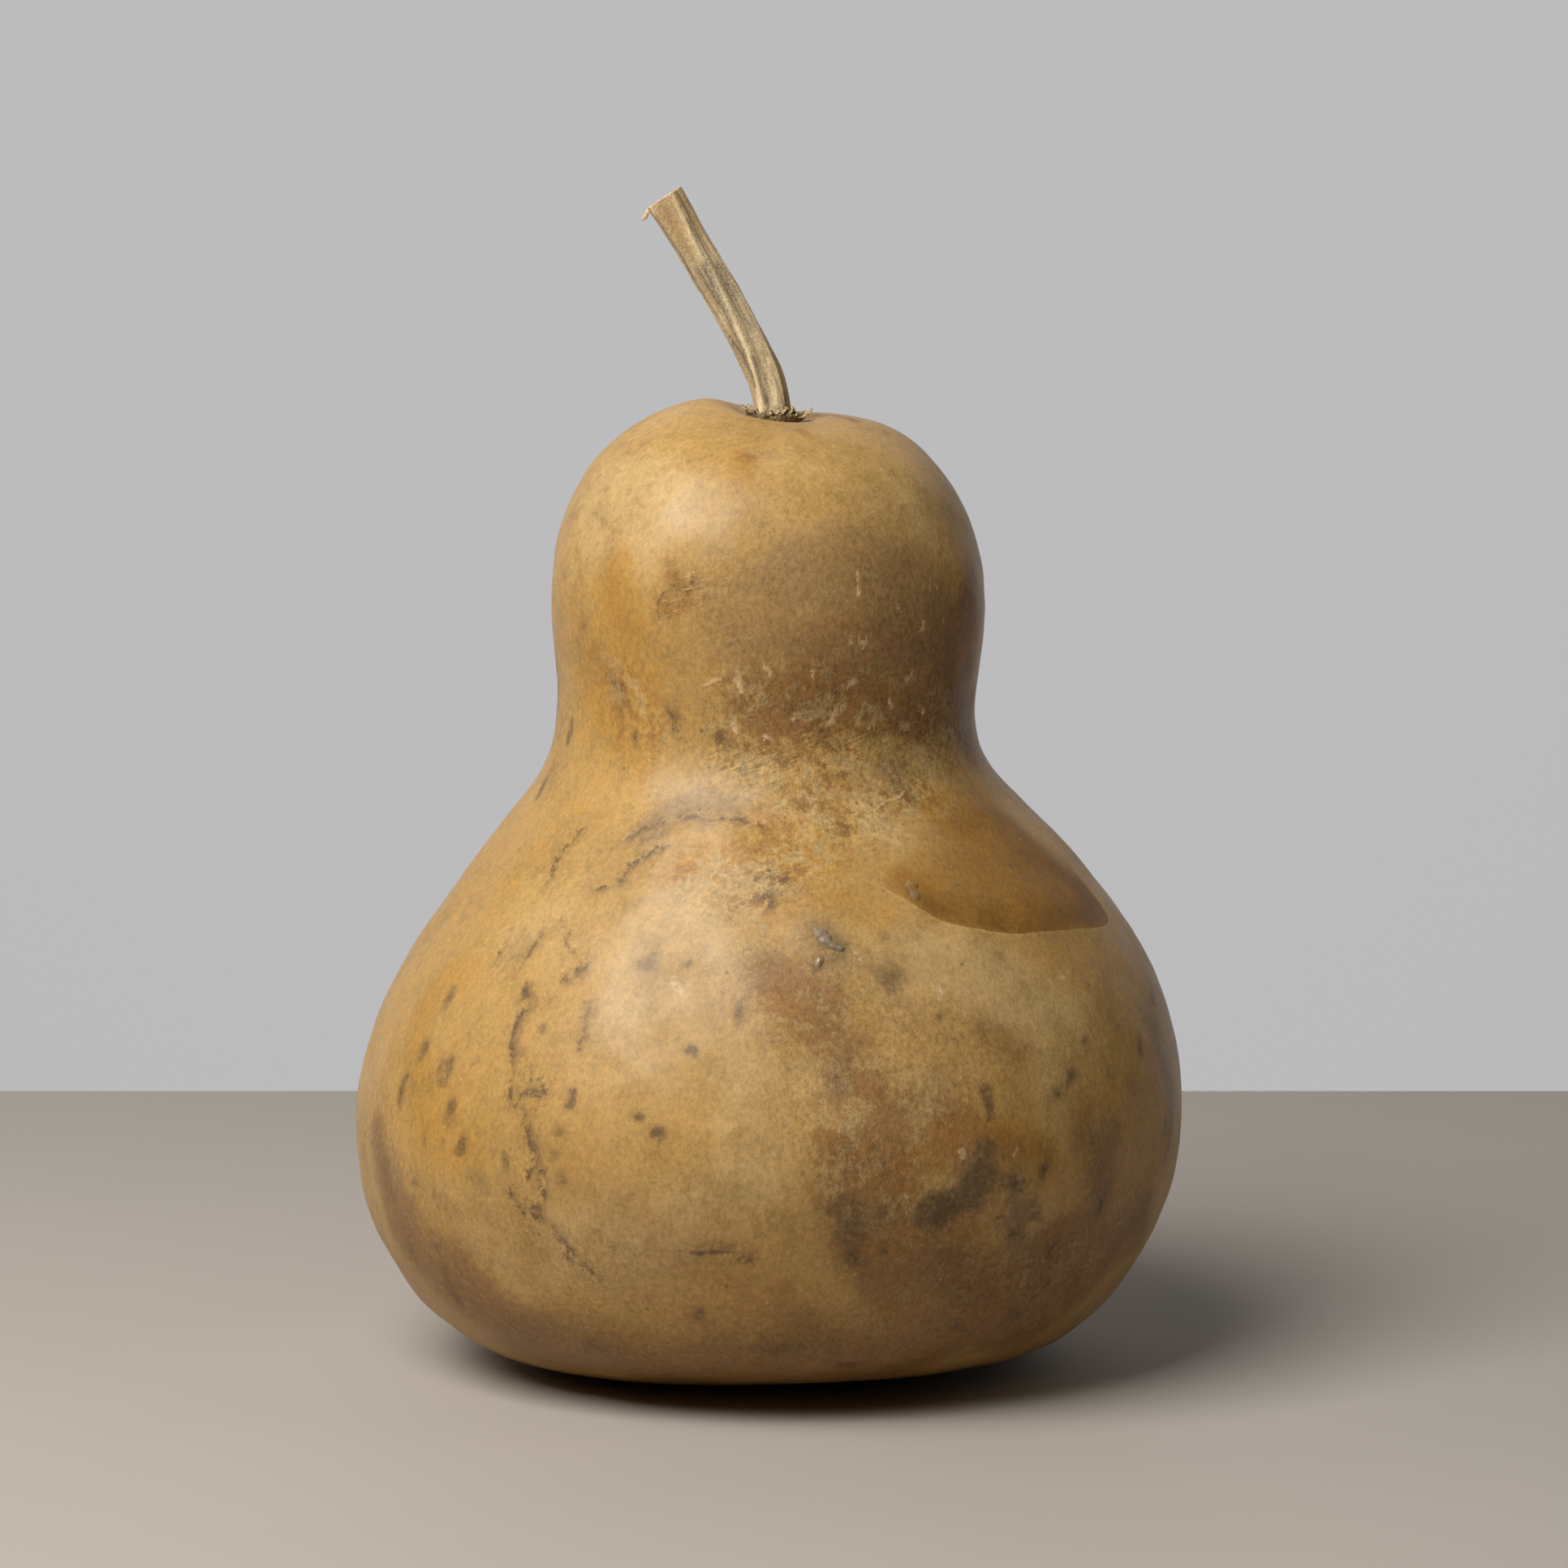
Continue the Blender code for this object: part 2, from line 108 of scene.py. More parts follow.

# Marks on the skin, read from the photograph. Each stroke has its half width in pixels,
# its strength, and then the x and the y of each pixel that it runs through.
SKIN_STROKES = {
    "amber": (
        (58, 0.85, 752, 710, 762, 800, 758, 890), (34, 0.6, 775, 900, 790, 935),
        (60, 0.9, 560, 1215, 520, 1320, 560, 1400), (50, 0.5, 640, 1090, 700, 1010),
        (35, 0.7, 850, 1060, 930, 1050, 1010, 1075), (30, 0.7, 955, 1130, 1000, 1110, 1080, 1130),
        (30, 1.0, 1240, 1412, 1285, 1425), (60, 0.5, 1200, 1520, 1240, 1580),
        (34, 0.7, 1150, 1000, 1230, 1005, 1260, 1030), (22, 0.7, 905, 560, 925, 590),
        (40, 0.5, 1180, 610, 1195, 690),
    ),
    "brown": (
        (22, 0.5, 828, 705, 842, 735, 822, 756), (24, 0.45, 735, 810, 765, 850, 760, 900),
        # This line and the first stroke on the next are partly a brown stain and partly painted shade, on
        # the head's right side and its lower part.
        (50, 1.0, 1195, 750, 1190, 840, 1185, 910), (46, 1.0, 940, 872, 1060, 868, 1170, 874),
        (44, 0.4, 1040, 775, 1110, 790, 1150, 830), (24, 0.35, 985, 990, 1020, 995, 1028, 1015),
        (40, 0.75, 940, 1200, 1010, 1240), (42, 0.65, 1020, 1270, 1080, 1340),
        (34, 0.5, 1125, 1250, 1150, 1260), (34, 0.6, 1210, 1275, 1250, 1305), (26, 0.5, 813, 1421),
        (60, 1.0, 1080, 1430, 1100, 1540, 1210, 1570), (30, 0.6, 1030, 1500, 1044, 1540),
        (44, 0.9, 1290, 1540, 1330, 1580), (44, 0.6, 1180, 1390, 1205, 1440),
        (40, 0.5, 1340, 1380, 1350, 1500), (40, 0.35, 620, 1460, 660, 1540),
        (60, 0.45, 480, 1480, 560, 1600), (60, 0.3, 760, 1560, 900, 1570),
        # This stroke and the long one two lines down are painted shade, darker along the base towards the
        # floor.
        (70, 0.9, 600, 1615, 700, 1672, 900, 1690, 1100, 1672, 1280, 1600, 1400, 1500),
        (40, 0.6, 1420, 1250, 1440, 1400), (30, 0.7, 464, 1400, 470, 1440, 486, 1500),
        (64, 0.5, 500, 1500, 580, 1600, 700, 1640, 900, 1650, 1240, 1640),
        # Darker on the dimple's far inner wall, behind the collar.
        (9, 0.9, 1004, 512, 1030, 513, 1052, 518),
    ),
    "rust": (
        (30, 0.9, 1115, 1450, 1140, 1425, 1200, 1400), (30, 0.9, 1090, 1525, 1140, 1512, 1200, 1505),
        (26, 0.8, 1230, 1410, 1285, 1420), (26, 0.5, 1105, 1612, 1140, 1610),
        (30, 0.5, 1050, 1430, 1056, 1470), (22, 0.6, 960, 1240, 1000, 1250),
        (30, 0.5, 950, 860, 1000, 850), (22, 0.6, 1040, 965, 1060, 960), (26, 0.6, 940, 1010, 985, 1040),
        (40, 0.5, 1190, 770, 1195, 860), (7, 0.9, 985, 528, 996, 536, 1003, 540),
        (16, 0.5, 912, 560, 925, 585), (18, 0.8, 828, 712, 842, 735, 826, 752),
        (30, 0.45, 745, 700, 765, 780), (60, 0.35, 700, 1450, 800, 1510, 900, 1560),
        (50, 0.12, 930, 1290, 960, 1390), (30, 0.4, 735, 1000, 800, 1080, 900, 1070),
    ),
    # Brown over the head's right side and lower part: partly a stain, partly painted shade.
    "veil_and_shade": (
        (54, 0.6, 975, 710, 1020, 710, 1100, 705), (54, 0.4, 1080, 665, 1150, 705),
        (60, 0.95, 1110, 770, 1160, 780, 1150, 850), (50, 0.55, 960, 790, 1040, 830),
        (40, 0.5, 870, 740, 900, 800), (30, 0.4, 960, 700, 920, 720),
    ),
    "grey": (
        (26, 0.8, 790, 1035, 840, 995, 900, 990), (20, 0.8, 1105, 950, 1118, 980), (18, 0.6, 982, 1100),
        (34, 0.75, 1008, 1150, 1030, 1190), (20, 0.7, 1028, 1320, 1030, 1350),
        (45, 0.5, 1200, 1330, 1120, 1330), (24, 0.9, 1252, 1465, 1258, 1530),
        (28, 0.8, 1150, 1482, 1180, 1466, 1206, 1440), (30, 0.7, 1362, 1400, 1352, 1480),
        (40, 0.4, 480, 1440, 500, 1470), (24, 0.4, 620, 1200, 640, 1160),
        (16, 0.6, 1320, 1325, 1304, 1352),
    ),
    "pale": (
        (60, 0.9, 720, 660, 740, 600, 800, 640), (45, 0.5, 800, 640, 740, 680),
        (60, 0.8, 1130, 1190, 1210, 1210, 1320, 1250),
        (60, 0.5, 1010, 1110, 1060, 1180, 1150, 1230, 1260, 1230),
        (60, 0.4, 960, 570, 1050, 600, 1130, 580), (40, 0.5, 1300, 1300, 1310, 1400),
        (30, 0.8, 1060, 1385, 1110, 1395, 1150, 1375), (45, 0.4, 1130, 610, 1170, 680),
        (26, 0.5, 985, 730, 1030, 740), (24, 0.9, 1128, 925, 1155, 915, 1150, 945),
        (26, 0.8, 1060, 950, 1090, 1020, 1110, 1030), (20, 0.6, 925, 950, 960, 940),
        # The last stroke here, under the neck, and the one on the next line, over the lit left of the
        # belly, are painted highlight.
        (70, 0.7, 950, 1330, 890, 1480, 720, 1560), (40, 0.5, 800, 945, 880, 950),
        (50, 0.5, 740, 1260, 900, 1180),
    ),
    "spots": (
        (8, 0.7, 848, 1187), (6, 0.5, 816, 1159), (6, 0.9, 854, 1297), (6, 0.9, 558, 1222, 550, 1236),
        (7, 0.9, 525, 1287, 521, 1299), (16, 1.0, 550, 1312, 545, 1325), (7, 0.5, 585, 1309),
        (5, 0.8, 500, 1328, 494, 1354), (13, 0.8, 558, 1366, 556, 1376), (10, 0.9, 572, 1404, 568, 1419),
        (4, 0.5, 525, 1394, 523, 1408), (6, 0.7, 592, 1454), (9, 0.7, 513, 1454),
        (6, 0.7, 622, 1424, 625, 1436), (4, 0.5, 642, 1411), (8, 0.95, 702, 1348, 700, 1360),
        (4, 0.8, 691, 1392), (8, 0.7, 683, 1421), (7, 0.85, 691, 1452), (3, 0.6, 672, 1266),
        (4, 0.9, 790, 1376), (6, 0.85, 811, 1397), (9, 0.6, 917, 1232, 912, 1262), (4, 0.9, 1160, 1250),
        (4, 0.7, 1235, 1181), (7, 0.5, 1214, 1277), (7, 1.0, 1215, 1344, 1217, 1356, 1220, 1374),
        (7, 0.8, 1049, 1542, 1054, 1556), (7, 0.8, 1087, 1544), (5, 0.85, 1251, 1454, 1262, 1458),
        (4, 0.8, 1288, 1436, 1282, 1454), (4, 0.8, 1278, 1500), (3, 0.7, 1228, 1503),
        (4, 0.8, 1245, 1523), (8, 0.5, 1192, 1535), (4, 0.9, 1356, 1478, 1352, 1490),
        (4, 0.9, 1434, 1386, 1432, 1396), (4, 0.7, 1298, 1540, 1294, 1550),
        (4, 0.7, 1320, 1320, 1317, 1334), (5, 0.6, 1302, 1350), (4, 0.7, 1366, 1324),
        (3, 0.6, 1337, 1281), (3, 0.7, 1404, 1282, 1405, 1297), (3, 0.6, 1418, 1222, 1419, 1234),
        (8, 0.7, 861, 1621), (8, 0.5, 1027, 1663), (6, 0.7, 1036, 1682, 1054, 1680), (4, 0.8, 1177, 1632),
        (7, 0.6, 1248, 1619), (4, 0.6, 1288, 1622), (5, 0.7, 1292, 1580), (6, 0.55, 826, 872, 829, 884),
        (7, 0.65, 881, 905, 886, 912), (5, 0.9, 703, 895, 700, 908), (5, 0.8, 672, 960, 664, 978),
        (6, 0.5, 756, 838, 762, 850), (5, 0.6, 783, 906, 781, 918), (8, 0.5, 720, 770),
        (4, 0.6, 1087, 1155),
    ),
    "smudges": (
        (24, 1.0, 798, 1189), (24, 1.0, 1099, 1204), (28, 0.45, 1012, 1150, 1035, 1172, 1010, 1186),
        (9, 0.7, 1022, 1163, 1038, 1170), (8, 0.9, 1008, 1190), (9, 0.6, 1124, 1100, 1130, 1106),
        (22, 0.45, 1029, 1320, 1034, 1336), (15, 1.0, 1214, 1418, 1214, 1448),
        (23, 1.0, 1206, 1456, 1180, 1480, 1156, 1484), (17, 1.0, 1154, 1486, 1158, 1506),
        (21, 0.9, 1038, 1490, 1054, 1502, 1050, 1514), (15, 0.6, 1091, 1496),
        (16, 0.6, 1046, 1418, 1045, 1438), (26, 0.55, 1252, 1455, 1255, 1520),
        (26, 0.42, 1364, 1400, 1356, 1450, 1352, 1484), (20, 0.35, 890, 1530), (20, 0.5, 664, 1537),
        (18, 0.3, 615, 1390), (15, 0.5, 476, 1440, 482, 1466), (8, 0.6, 500, 1512, 514, 1552),
        (17, 0.55, 536, 1530, 548, 1560), (8, 0.7, 556, 1578, 570, 1606), (13, 0.6, 942, 1655, 988, 1658),
        (16, 0.4, 1160, 1665, 1240, 1650, 1310, 1615), (16, 0.4, 915, 566, 945, 556),
        (14, 0.4, 755, 836, 768, 862), (14, 0.35, 826, 872, 836, 900), (16, 0.2, 884, 908, 900, 918),
        (20, 0.4, 905, 930, 935, 925, 960, 930), (17, 0.45, 970, 870, 1000, 876),
        (15, 0.4, 1012, 898, 1020, 905), (20, 0.35, 1104, 950, 1120, 985), (18, 0.3, 976, 985, 1020, 990),
        (20, 0.3, 1020, 1010, 1035, 1040), (14, 0.4, 640, 1176, 672, 1158),
        (14, 0.4, 704, 1202, 724, 1188), (13, 0.5, 652, 1217, 644, 1256, 636, 1300),
        (12, 0.35, 634, 1330, 644, 1370, 660, 1400, 662, 1430),
        (12, 0.35, 668, 1470, 664, 1496, 700, 1536), (11, 0.4, 727, 1238, 716, 1280),
        (14, 0.3, 806, 1052, 768, 1080),
    ),
    "speckled": (
        (9, 0.8, 1008, 1150, 1020, 1160, 1040, 1170), (7, 0.8, 1008, 1190, 1014, 1184),
        (12, 0.9, 756, 834, 772, 862), (14, 0.7, 852, 1622, 868, 1630), (16, 0.7, 935, 1660, 975, 1664),
        (9, 0.8, 1140, 1590), (12, 0.8, 1302, 1564, 1320, 1580), (12, 0.7, 1050, 1548, 1064, 1560),
        (14, 0.6, 786, 1056, 815, 1050), (22, 0.5, 905, 1130, 940, 1100),
        (30, 0.5, 1000, 1250, 1060, 1290), (26, 0.5, 1230, 1480, 1262, 1540),
        (24, 0.6, 1170, 1560, 1230, 1600), (20, 0.6, 660, 1600, 730, 1650),
    ),
    "scratched": (
        (26, 1.0, 825, 745, 880, 700), (20, 0.8, 860, 800, 895, 785), (22, 0.6, 865, 850, 890, 840),
        (30, 0.8, 1075, 990, 1140, 935), (20, 0.7, 1365, 1514, 1397, 1488), (14, 0.8, 700, 700, 720, 690),
    ),
    "wrinkled": (
        (24, 1.0, 895, 935, 960, 935, 1020, 915), (24, 0.7, 1030, 915, 1120, 900),
        (20, 0.6, 900, 960, 960, 975), (20, 0.5, 1110, 940, 1150, 915),
    ),
    "mottled": (
        (40, 0.6, 900, 870, 1040, 880, 1150, 870), (45, 1.0, 920, 950, 1060, 930, 1160, 930),
        (45, 1.0, 980, 1000, 1090, 1000, 1150, 980), (30, 0.7, 770, 850, 800, 920),
        (40, 0.8, 860, 1070, 960, 1060), (36, 0.8, 920, 1110, 1000, 1060),
        (60, 0.4, 1000, 1360, 1150, 1340), (60, 0.5, 1060, 1450, 1180, 1500),
        (60, 0.5, 1230, 1570, 1340, 1560), (60, 0.35, 960, 1220, 1100, 1280),
    ),
    # Partly an amber stain and partly a painted shadow and dark reflection of the upper bulb.
    "stain_and_shadow": (
        (40, 1.0, 1150, 1110, 1200, 1130, 1260, 1140, 1330, 1125),
        (60, 0.65, 1170, 1060, 1220, 1080, 1290, 1090), (40, 0.8, 1200, 1030, 1260, 1040),
        (22, 0.6, 1105, 1085, 1130, 1095), (60, 1.0, 1250, 1030, 1300, 1075, 1345, 1120),
    ),
    # The darker band along its crisp edges: partly stain, partly painted shadow.
    "patch_deep": (
        (16, 0.8, 1230, 1140, 1290, 1136, 1345, 1125), (16, 0.6, 1150, 1118, 1200, 1134),
        (26, 0.7, 1290, 1050, 1325, 1090, 1352, 1125),
    ),
}

# Thin lines on the skin, given like the strokes.
SKIN_LINES = {
    "veins": (
        (3.5, 0.85, 930, 1018, 905, 1013, 876, 1009, 850, 1008, 838, 1011, 806, 1020, 775, 1032),
        (5, 0.8, 816, 1048, 799, 1059, 780, 1068, 768, 1078, 764, 1088, 749, 1094, 736, 1096),
        (4, 0.8, 720, 1019, 707, 1036, 692, 1057, 684, 1073, 674, 1090),
        (5, 0.6, 703, 1153, 700, 1166, 704, 1172), (4, 0.5, 692, 1136, 672, 1152, 655, 1172, 640, 1190),
        (5, 0.7, 620, 1166, 613, 1182), (5, 0.7, 652, 1217, 646, 1248, 636, 1280, 636, 1303),
        (4, 0.8, 636, 1303, 630, 1327, 632, 1354), (5, 0.9, 632, 1354, 644, 1370, 658, 1393),
        (5, 1.0, 658, 1393, 664, 1417, 654, 1444), (3, 0.9, 654, 1321, 659, 1340, 668, 1346, 672, 1335),
        (3, 0.8, 634, 1352, 646, 1347, 660, 1345), (4, 1.0, 672, 1452, 666, 1480, 660, 1496),
        (4, 1.0, 638, 1476, 646, 1492, 660, 1496),
        (5, 1.0, 660, 1496, 680, 1515, 699, 1535, 719, 1558, 735, 1576),
        (4, 0.7, 727, 1238, 719, 1268, 711, 1287), (5, 0.6, 727, 1185, 712, 1198, 697, 1208),
        (3, 1.0, 842, 1543, 868, 1542, 881, 1541, 898, 1545, 915, 1548, 928, 1549),
        (5, 0.8, 950, 1068, 946, 1090, 952, 1112), (4, 0.7, 936, 1084, 946, 1092, 966, 1080),
        (3, 0.7, 720, 1660, 731, 1652, 744, 1658), (4, 0.5, 1236, 1630, 1262, 1612, 1276, 1590),
        (2, 0.55, 852, 702, 853, 727, 840, 732), (2, 0.5, 840, 714, 820, 733, 811, 756),
        (3, 0.7, 829, 884, 835, 900),
    ),
    "dashes": (
        (2.5, 0.9, 1058, 707, 1057, 716), (2.0, 0.6, 1056, 731, 1056, 733),
        (1.5, 0.7, 1144, 712, 1144, 718), (1.5, 0.6, 1155, 722, 1156, 724),
        (1.5, 0.6, 1103, 746, 1104, 748), (2.5, 0.8, 1137, 768, 1135, 773),
        (1.5, 0.6, 1161, 764, 1161, 770), (3.0, 0.7, 1052, 784, 1051, 787),
        (2.0, 0.8, 1069, 784, 1064, 795), (3.0, 0.8, 944, 820, 948, 830),
        (3.0, 0.8, 908, 824, 909, 836, 911, 850), (2.0, 0.6, 1002, 825, 1001, 829),
        (2.5, 0.9, 1123, 831, 1118, 838), (2.0, 0.8, 1055, 836, 1048, 846),
        (4.0, 0.8, 1097, 865, 1097, 868), (2.5, 0.6, 1041, 868, 1041, 871),
        (5.0, 0.8, 1027, 879, 1023, 888), (4.0, 0.6, 980, 885, 992, 882), (4.0, 0.7, 906, 882, 908, 898),
        (4.0, 0.6, 948, 908, 954, 910), (4.0, 0.6, 1130, 868, 1136, 874),
        (4.0, 0.8, 833, 1210, 836, 1224), (2.5, 0.6, 1152, 1197, 1153, 1200),
        (4.0, 0.8, 1154, 1218, 1158, 1226), (3.0, 0.6, 1059, 1180, 1061, 1183),
        (4.0, 0.5, 1302, 1201, 1312, 1203), (1.5, 0.9, 1120, 1531, 1120, 1532),
        (2.0, 0.8, 1119, 1475, 1119, 1476), (6.0, 0.6, 1184, 1421, 1185, 1424),
        (2.0, 0.7, 1251, 1420, 1251, 1421), (2.0, 0.8, 776, 540, 784, 536),
        (1.5, 0.8, 868, 841, 882, 836), (1.3, 0.7, 1081, 996, 1112, 972),
        (1.3, 0.6, 1368, 1513, 1392, 1497),
    ),
}

# The crisp lower and right edge of the amber mark on the lower bulb's right shoulder, which is
# partly a stain and partly a painted shadow and dark reflection of the upper bulb, as the x and
# the y of its pixels in turn.
PATCH_EDGE = (
    1050, 1074, 1086, 1093, 1117, 1109, 1145, 1127, 1168, 1137, 1196, 1144, 1227, 1149, 1258, 1151,
    1294, 1148, 1329, 1145, 1357, 1142, 1364, 1128, 1345, 1100, 1321, 1069, 1296, 1037, 1280, 1012,
)
PATCH_SCALE = 6.0 * MM

# Raised scars: half their width and their rise in pixels, how grey they are (0 as the skin,
# 1 grey, 2 pale as a fleck, which on the nub's tip is a painted highlight), and the x and the y
# of each pixel that they run through.
RAISED_SCARS = (
    (7.5, 3.4, 0.8, 1007, 1147, 1012, 1152, 1017, 1158, 1022, 1163),
    (5.0, 4.0, 1.0, 1017, 1158, 1023, 1164, 1030, 1168, 1037, 1169),
    (5.5, 3.6, 0.9, 1008, 1190, 1009, 1186, 1011, 1182),
    # The nub's pale tip: a painted highlight.
    (2.2, 5.4, 2.0, 1008, 1187, 1009, 1185, 1009, 1183),
    (6.5, 1.4, 0.3, 1122, 1088, 1125, 1096, 1129, 1106),
)
WELT_COLUMNS = 14
WELT_ROWS = 17
WELT_TIP_POWER = 9
WELT_TAPER = 0.98
WELT_TAPER_POWER = 6
WELT_LUMPS = ((0.25, 2.2 * MM, 61),)

# More marks of the same kinds for the sides and the back, placed by seeded draws: how many, half
# their widths in pixels, their strengths and their lengths, in pixels and for lines in millimetres.
# Lines also have a number of steps.
BACK_SEED = 23
BACK_STROKES = (
    ("amber", 9, (45, 85), (0.5, 1.0), (0, 30)),
    ("brown", 9, (45, 85), (0.4, 0.9), (0, 50)),
    ("veil_and_shade", 4, (50, 80), (0.4, 0.9), (0, 50)),
    ("grey", 9, (30, 50), (0.3, 0.6), (0, 30)),
    ("rust", 7, (24, 45), (0.4, 0.9), (0, 40)),
    ("pale", 7, (40, 65), (0.3, 0.6), (0, 30)),
    ("spots", 60, (4, 13), (0.5, 1.0), (0, 5)),
    ("smudges", 16, (10, 20), (0.5, 1.0), (5, 40)),
    ("speckled", 9, (12, 24), (0.5, 0.9), (5, 30)),
    ("mottled", 7, (40, 65), (0.5, 1.0), (0, 35)),
    ("scratched", 4, (20, 30), (0.6, 1.0), (5, 12)),
)
BACK_LINES = (
    ("veins", 7, (3.0, 8.0), (0.6, 1.0), (20.0, 60.0), 8),
    ("dashes", 30, (1.5, 4.0), (0.5, 0.9), (1.0, 3.0), 2),
)
BACK_ANGLES = (8.0, 172.0)
BACK_HEIGHTS = (14.0 * MM, 196.0 * MM)
BACK_LEANS = (-0.6, 0.6)
BACK_SWAY = (-2.5, 2.5)
BACK_RADIUS = 70.0 * MM
BACK_LOWEST = 8.0 * MM

# The middle line of the stalk in millimetres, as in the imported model.
STEM_LINE = (
    (0.9, 0.0, 201.9), (0.9, 0.0, 205.2), (0.7, 0.0, 208.7), (-0.2, 0.1, 213.7), (-2.7, 0.3, 220.0),
    (-7.4, 0.6, 228.9), (-13.7, 1.0, 239.4), (-20.1, 1.4, 249.9), (-22.9, 1.6, 254.5),
)
STEM_COLUMNS = 144
STEM_ROWS = 170
STEM_WAVES_KEPT = 14
STEM_BLENDED_ROWS = 4
STEM_RIBS = 5
STEM_FOOT_RIB = math.radians(-139.0)
STEM_TWIST = math.radians(76.0)
STEM_REACH = 9.0 * MM
STEM_END_GAP = 0.4 * MM
STEM_PITH_DEPTH = 1.4 * MM

# The stalk's fibres and the pits in its grooves: the length of their waves with their seed, and
# their depths. Their noise is read on a round stalk of one girth. Both start above the collar.
STEM_GIRTH = 4.0 * MM
STEM_FIBRES = (0.9 * MM, 41)
STEM_FIBRE_STRETCH = (1.0, 1.0, 0.10)
STEM_FIBRE_DEPTH = 0.07 * MM
STEM_PITS = (1.1 * MM, 43)
STEM_PIT_DEPTH = 0.05 * MM
COLLAR_CLEARANCE = (206.0 * MM, 2.0 * MM)

# The cut end of the stalk: each row's share of the rim's reach and its rise in millimetres, then
# how it leans and how rough it is.
STEM_CUT_ROWS = (
    (1.0, 0.15), (0.985, 0.3), (0.93, 0.33), (0.84, 0.15), (0.7, 0.05), (0.5, 0.0), (0.34, -0.3),
    (0.16, -1.0),
)
STEM_CUT_LEAN = 0.05
STEM_CUT_SEED = 77
STEM_CUT_ROUGHNESS = 0.03 * MM
STEM_CUT_CARRY = 0.5
STEM_CUT_WAVES = 3
STEM_CUT_WAVE_RISE = 1.2 * STEM_CUT_ROUGHNESS
STEM_CUT_FADE = 1.6

# The splinter that hangs off the left corner of the cut: its path from the corner in
# millimetres, then half its width and half its thickness.
SPLINTER_PATH = ((0.6, -0.2, 0.0), (-0.1, -0.3, -0.8), (-0.4, -0.3, -1.5), (-1.1, -0.2, -2.2))
SPLINTER_FACING = (0.0, -1.0, 0.0)
SPLINTER_SIZE = (0.38 * MM, 0.16 * MM)

# Marks on the stalk, given like those on the skin.
STALK_STROKES = {
    "soot": (
        (5, 0.95, 868, 325, 876, 340, 884, 358, 893, 378, 901, 398),
        (3, 0.6, 846, 270, 858, 298, 866, 318), (4, 0.8, 901, 400, 911, 424, 918, 446),
        (3, 0.9, 927, 440, 935, 462, 941, 484, 945, 496),
        (3, 1.0, 809, 268, 827, 298, 840, 319, 856, 344), (2.5, 0.6, 855, 344, 881, 385, 904, 424),
        (3, 0.9, 904, 424, 922, 451, 930, 476), (5, 0.5, 884, 325, 898, 352, 912, 380, 926, 405),
        (3, 0.6, 858, 330, 872, 352, 884, 372), (3, 0.5, 950, 450, 958, 475, 962, 495),
    ),
    "bleached": (
        (5, 0.9, 889, 392, 896, 406), (2.8, 1.0, 843, 261, 868, 311, 901, 390, 925, 450, 934, 498),
        (4, 0.7, 948, 440, 953, 465, 955, 495), (3, 0.5, 838, 268, 852, 300),
    ),
    "browned": (
        (12, 0.7, 822, 262, 838, 290, 846, 310), (5, 0.7, 896, 398, 914, 432, 930, 470),
        (4, 0.5, 928, 462, 936, 490),
    ),
}

# The collar's ring, and its torn flakes: direction in degrees, reach, height, length and width in
# millimetres, and how steeply they rise.
WELD_DISTANCE = 0.01 * MM
COLLAR_FINENESS = 2
COLLAR_RELIEF = ((0.16 * MM, 1.6 * MM, 51), (0.08 * MM, 0.7 * MM, 52))
COLLAR_SHARDS = (
    (-14.0, 4.7, 207.4, 3.9, 2.6, -0.06), (-24.0, 4.8, 207.0, 3.0, 2.2, -0.04),
    (-36.0, 4.8, 207.1, 2.0, 1.8, 0.1), (4.0, 4.9, 207.3, 2.6, 2.2, 0.05),
    (166.0, 4.6, 207.9, 2.0, 1.6, 0.7), (184.0, 4.6, 207.6, 2.6, 1.9, 0.35),
    (200.0, 4.6, 207.9, 2.2, 1.6, 0.5), (216.0, 4.7, 207.5, 2.2, 1.7, 0.3),
    (224.0, 4.9, 206.8, 1.9, 3.0, 2.2), (238.0, 4.9, 206.7, 2.0, 3.4, 2.6),
    (254.0, 4.9, 206.6, 1.8, 3.8, 3.0), (268.0, 5.0, 206.5, 2.0, 3.4, 3.0),
    (280.0, 4.9, 206.6, 1.8, 3.8, 3.0), (294.0, 5.0, 206.5, 2.1, 3.6, 2.6),
    (308.0, 4.9, 206.7, 2.3, 3.4, 1.6), (322.0, 4.8, 206.9, 2.4, 3.0, 0.9),
    (30.0, 4.7, 207.3, 1.4, 1.8, 0.6), (58.0, 4.7, 207.4, 1.6, 1.7, 0.7),
    (88.0, 4.7, 207.5, 1.5, 2.0, 0.8), (118.0, 4.7, 207.5, 1.7, 1.7, 0.6),
    (146.0, 4.7, 207.6, 1.9, 1.6, 0.6),
)
SHARD_SEED = 300
SHARD_ROWS = 9
SHARD_COLUMNS = 6
SHARD_THICKNESS = 0.22 * MM
SHARD_CURLS = (0.1, 0.5)
SHARD_DRIFTS = (-0.3, 0.3)
SHARD_TAPER_POWER = 1.6
SHARD_RAGGEDNESS = 0.25
SHARD_TIP = 0.06
SHARD_SHAKE = 0.06
SHARD_BULGE = 0.25
SHARD_ROUGHNESS = 0.05

# Colours, as linear red, green and blue.
OCHRE = (0.435, 0.253, 0.076)
AMBER = (0.41, 0.217, 0.045)
# Brown is a stain colour and also painted shade on the head's right side and along the base; the next brown
# is partly painted shade on the head's right side.
BROWN = (0.215, 0.105, 0.033)
VEIL_AND_SHADE_BROWN = (0.235, 0.135, 0.058)
GREY_CAST = (0.24, 0.155, 0.075)
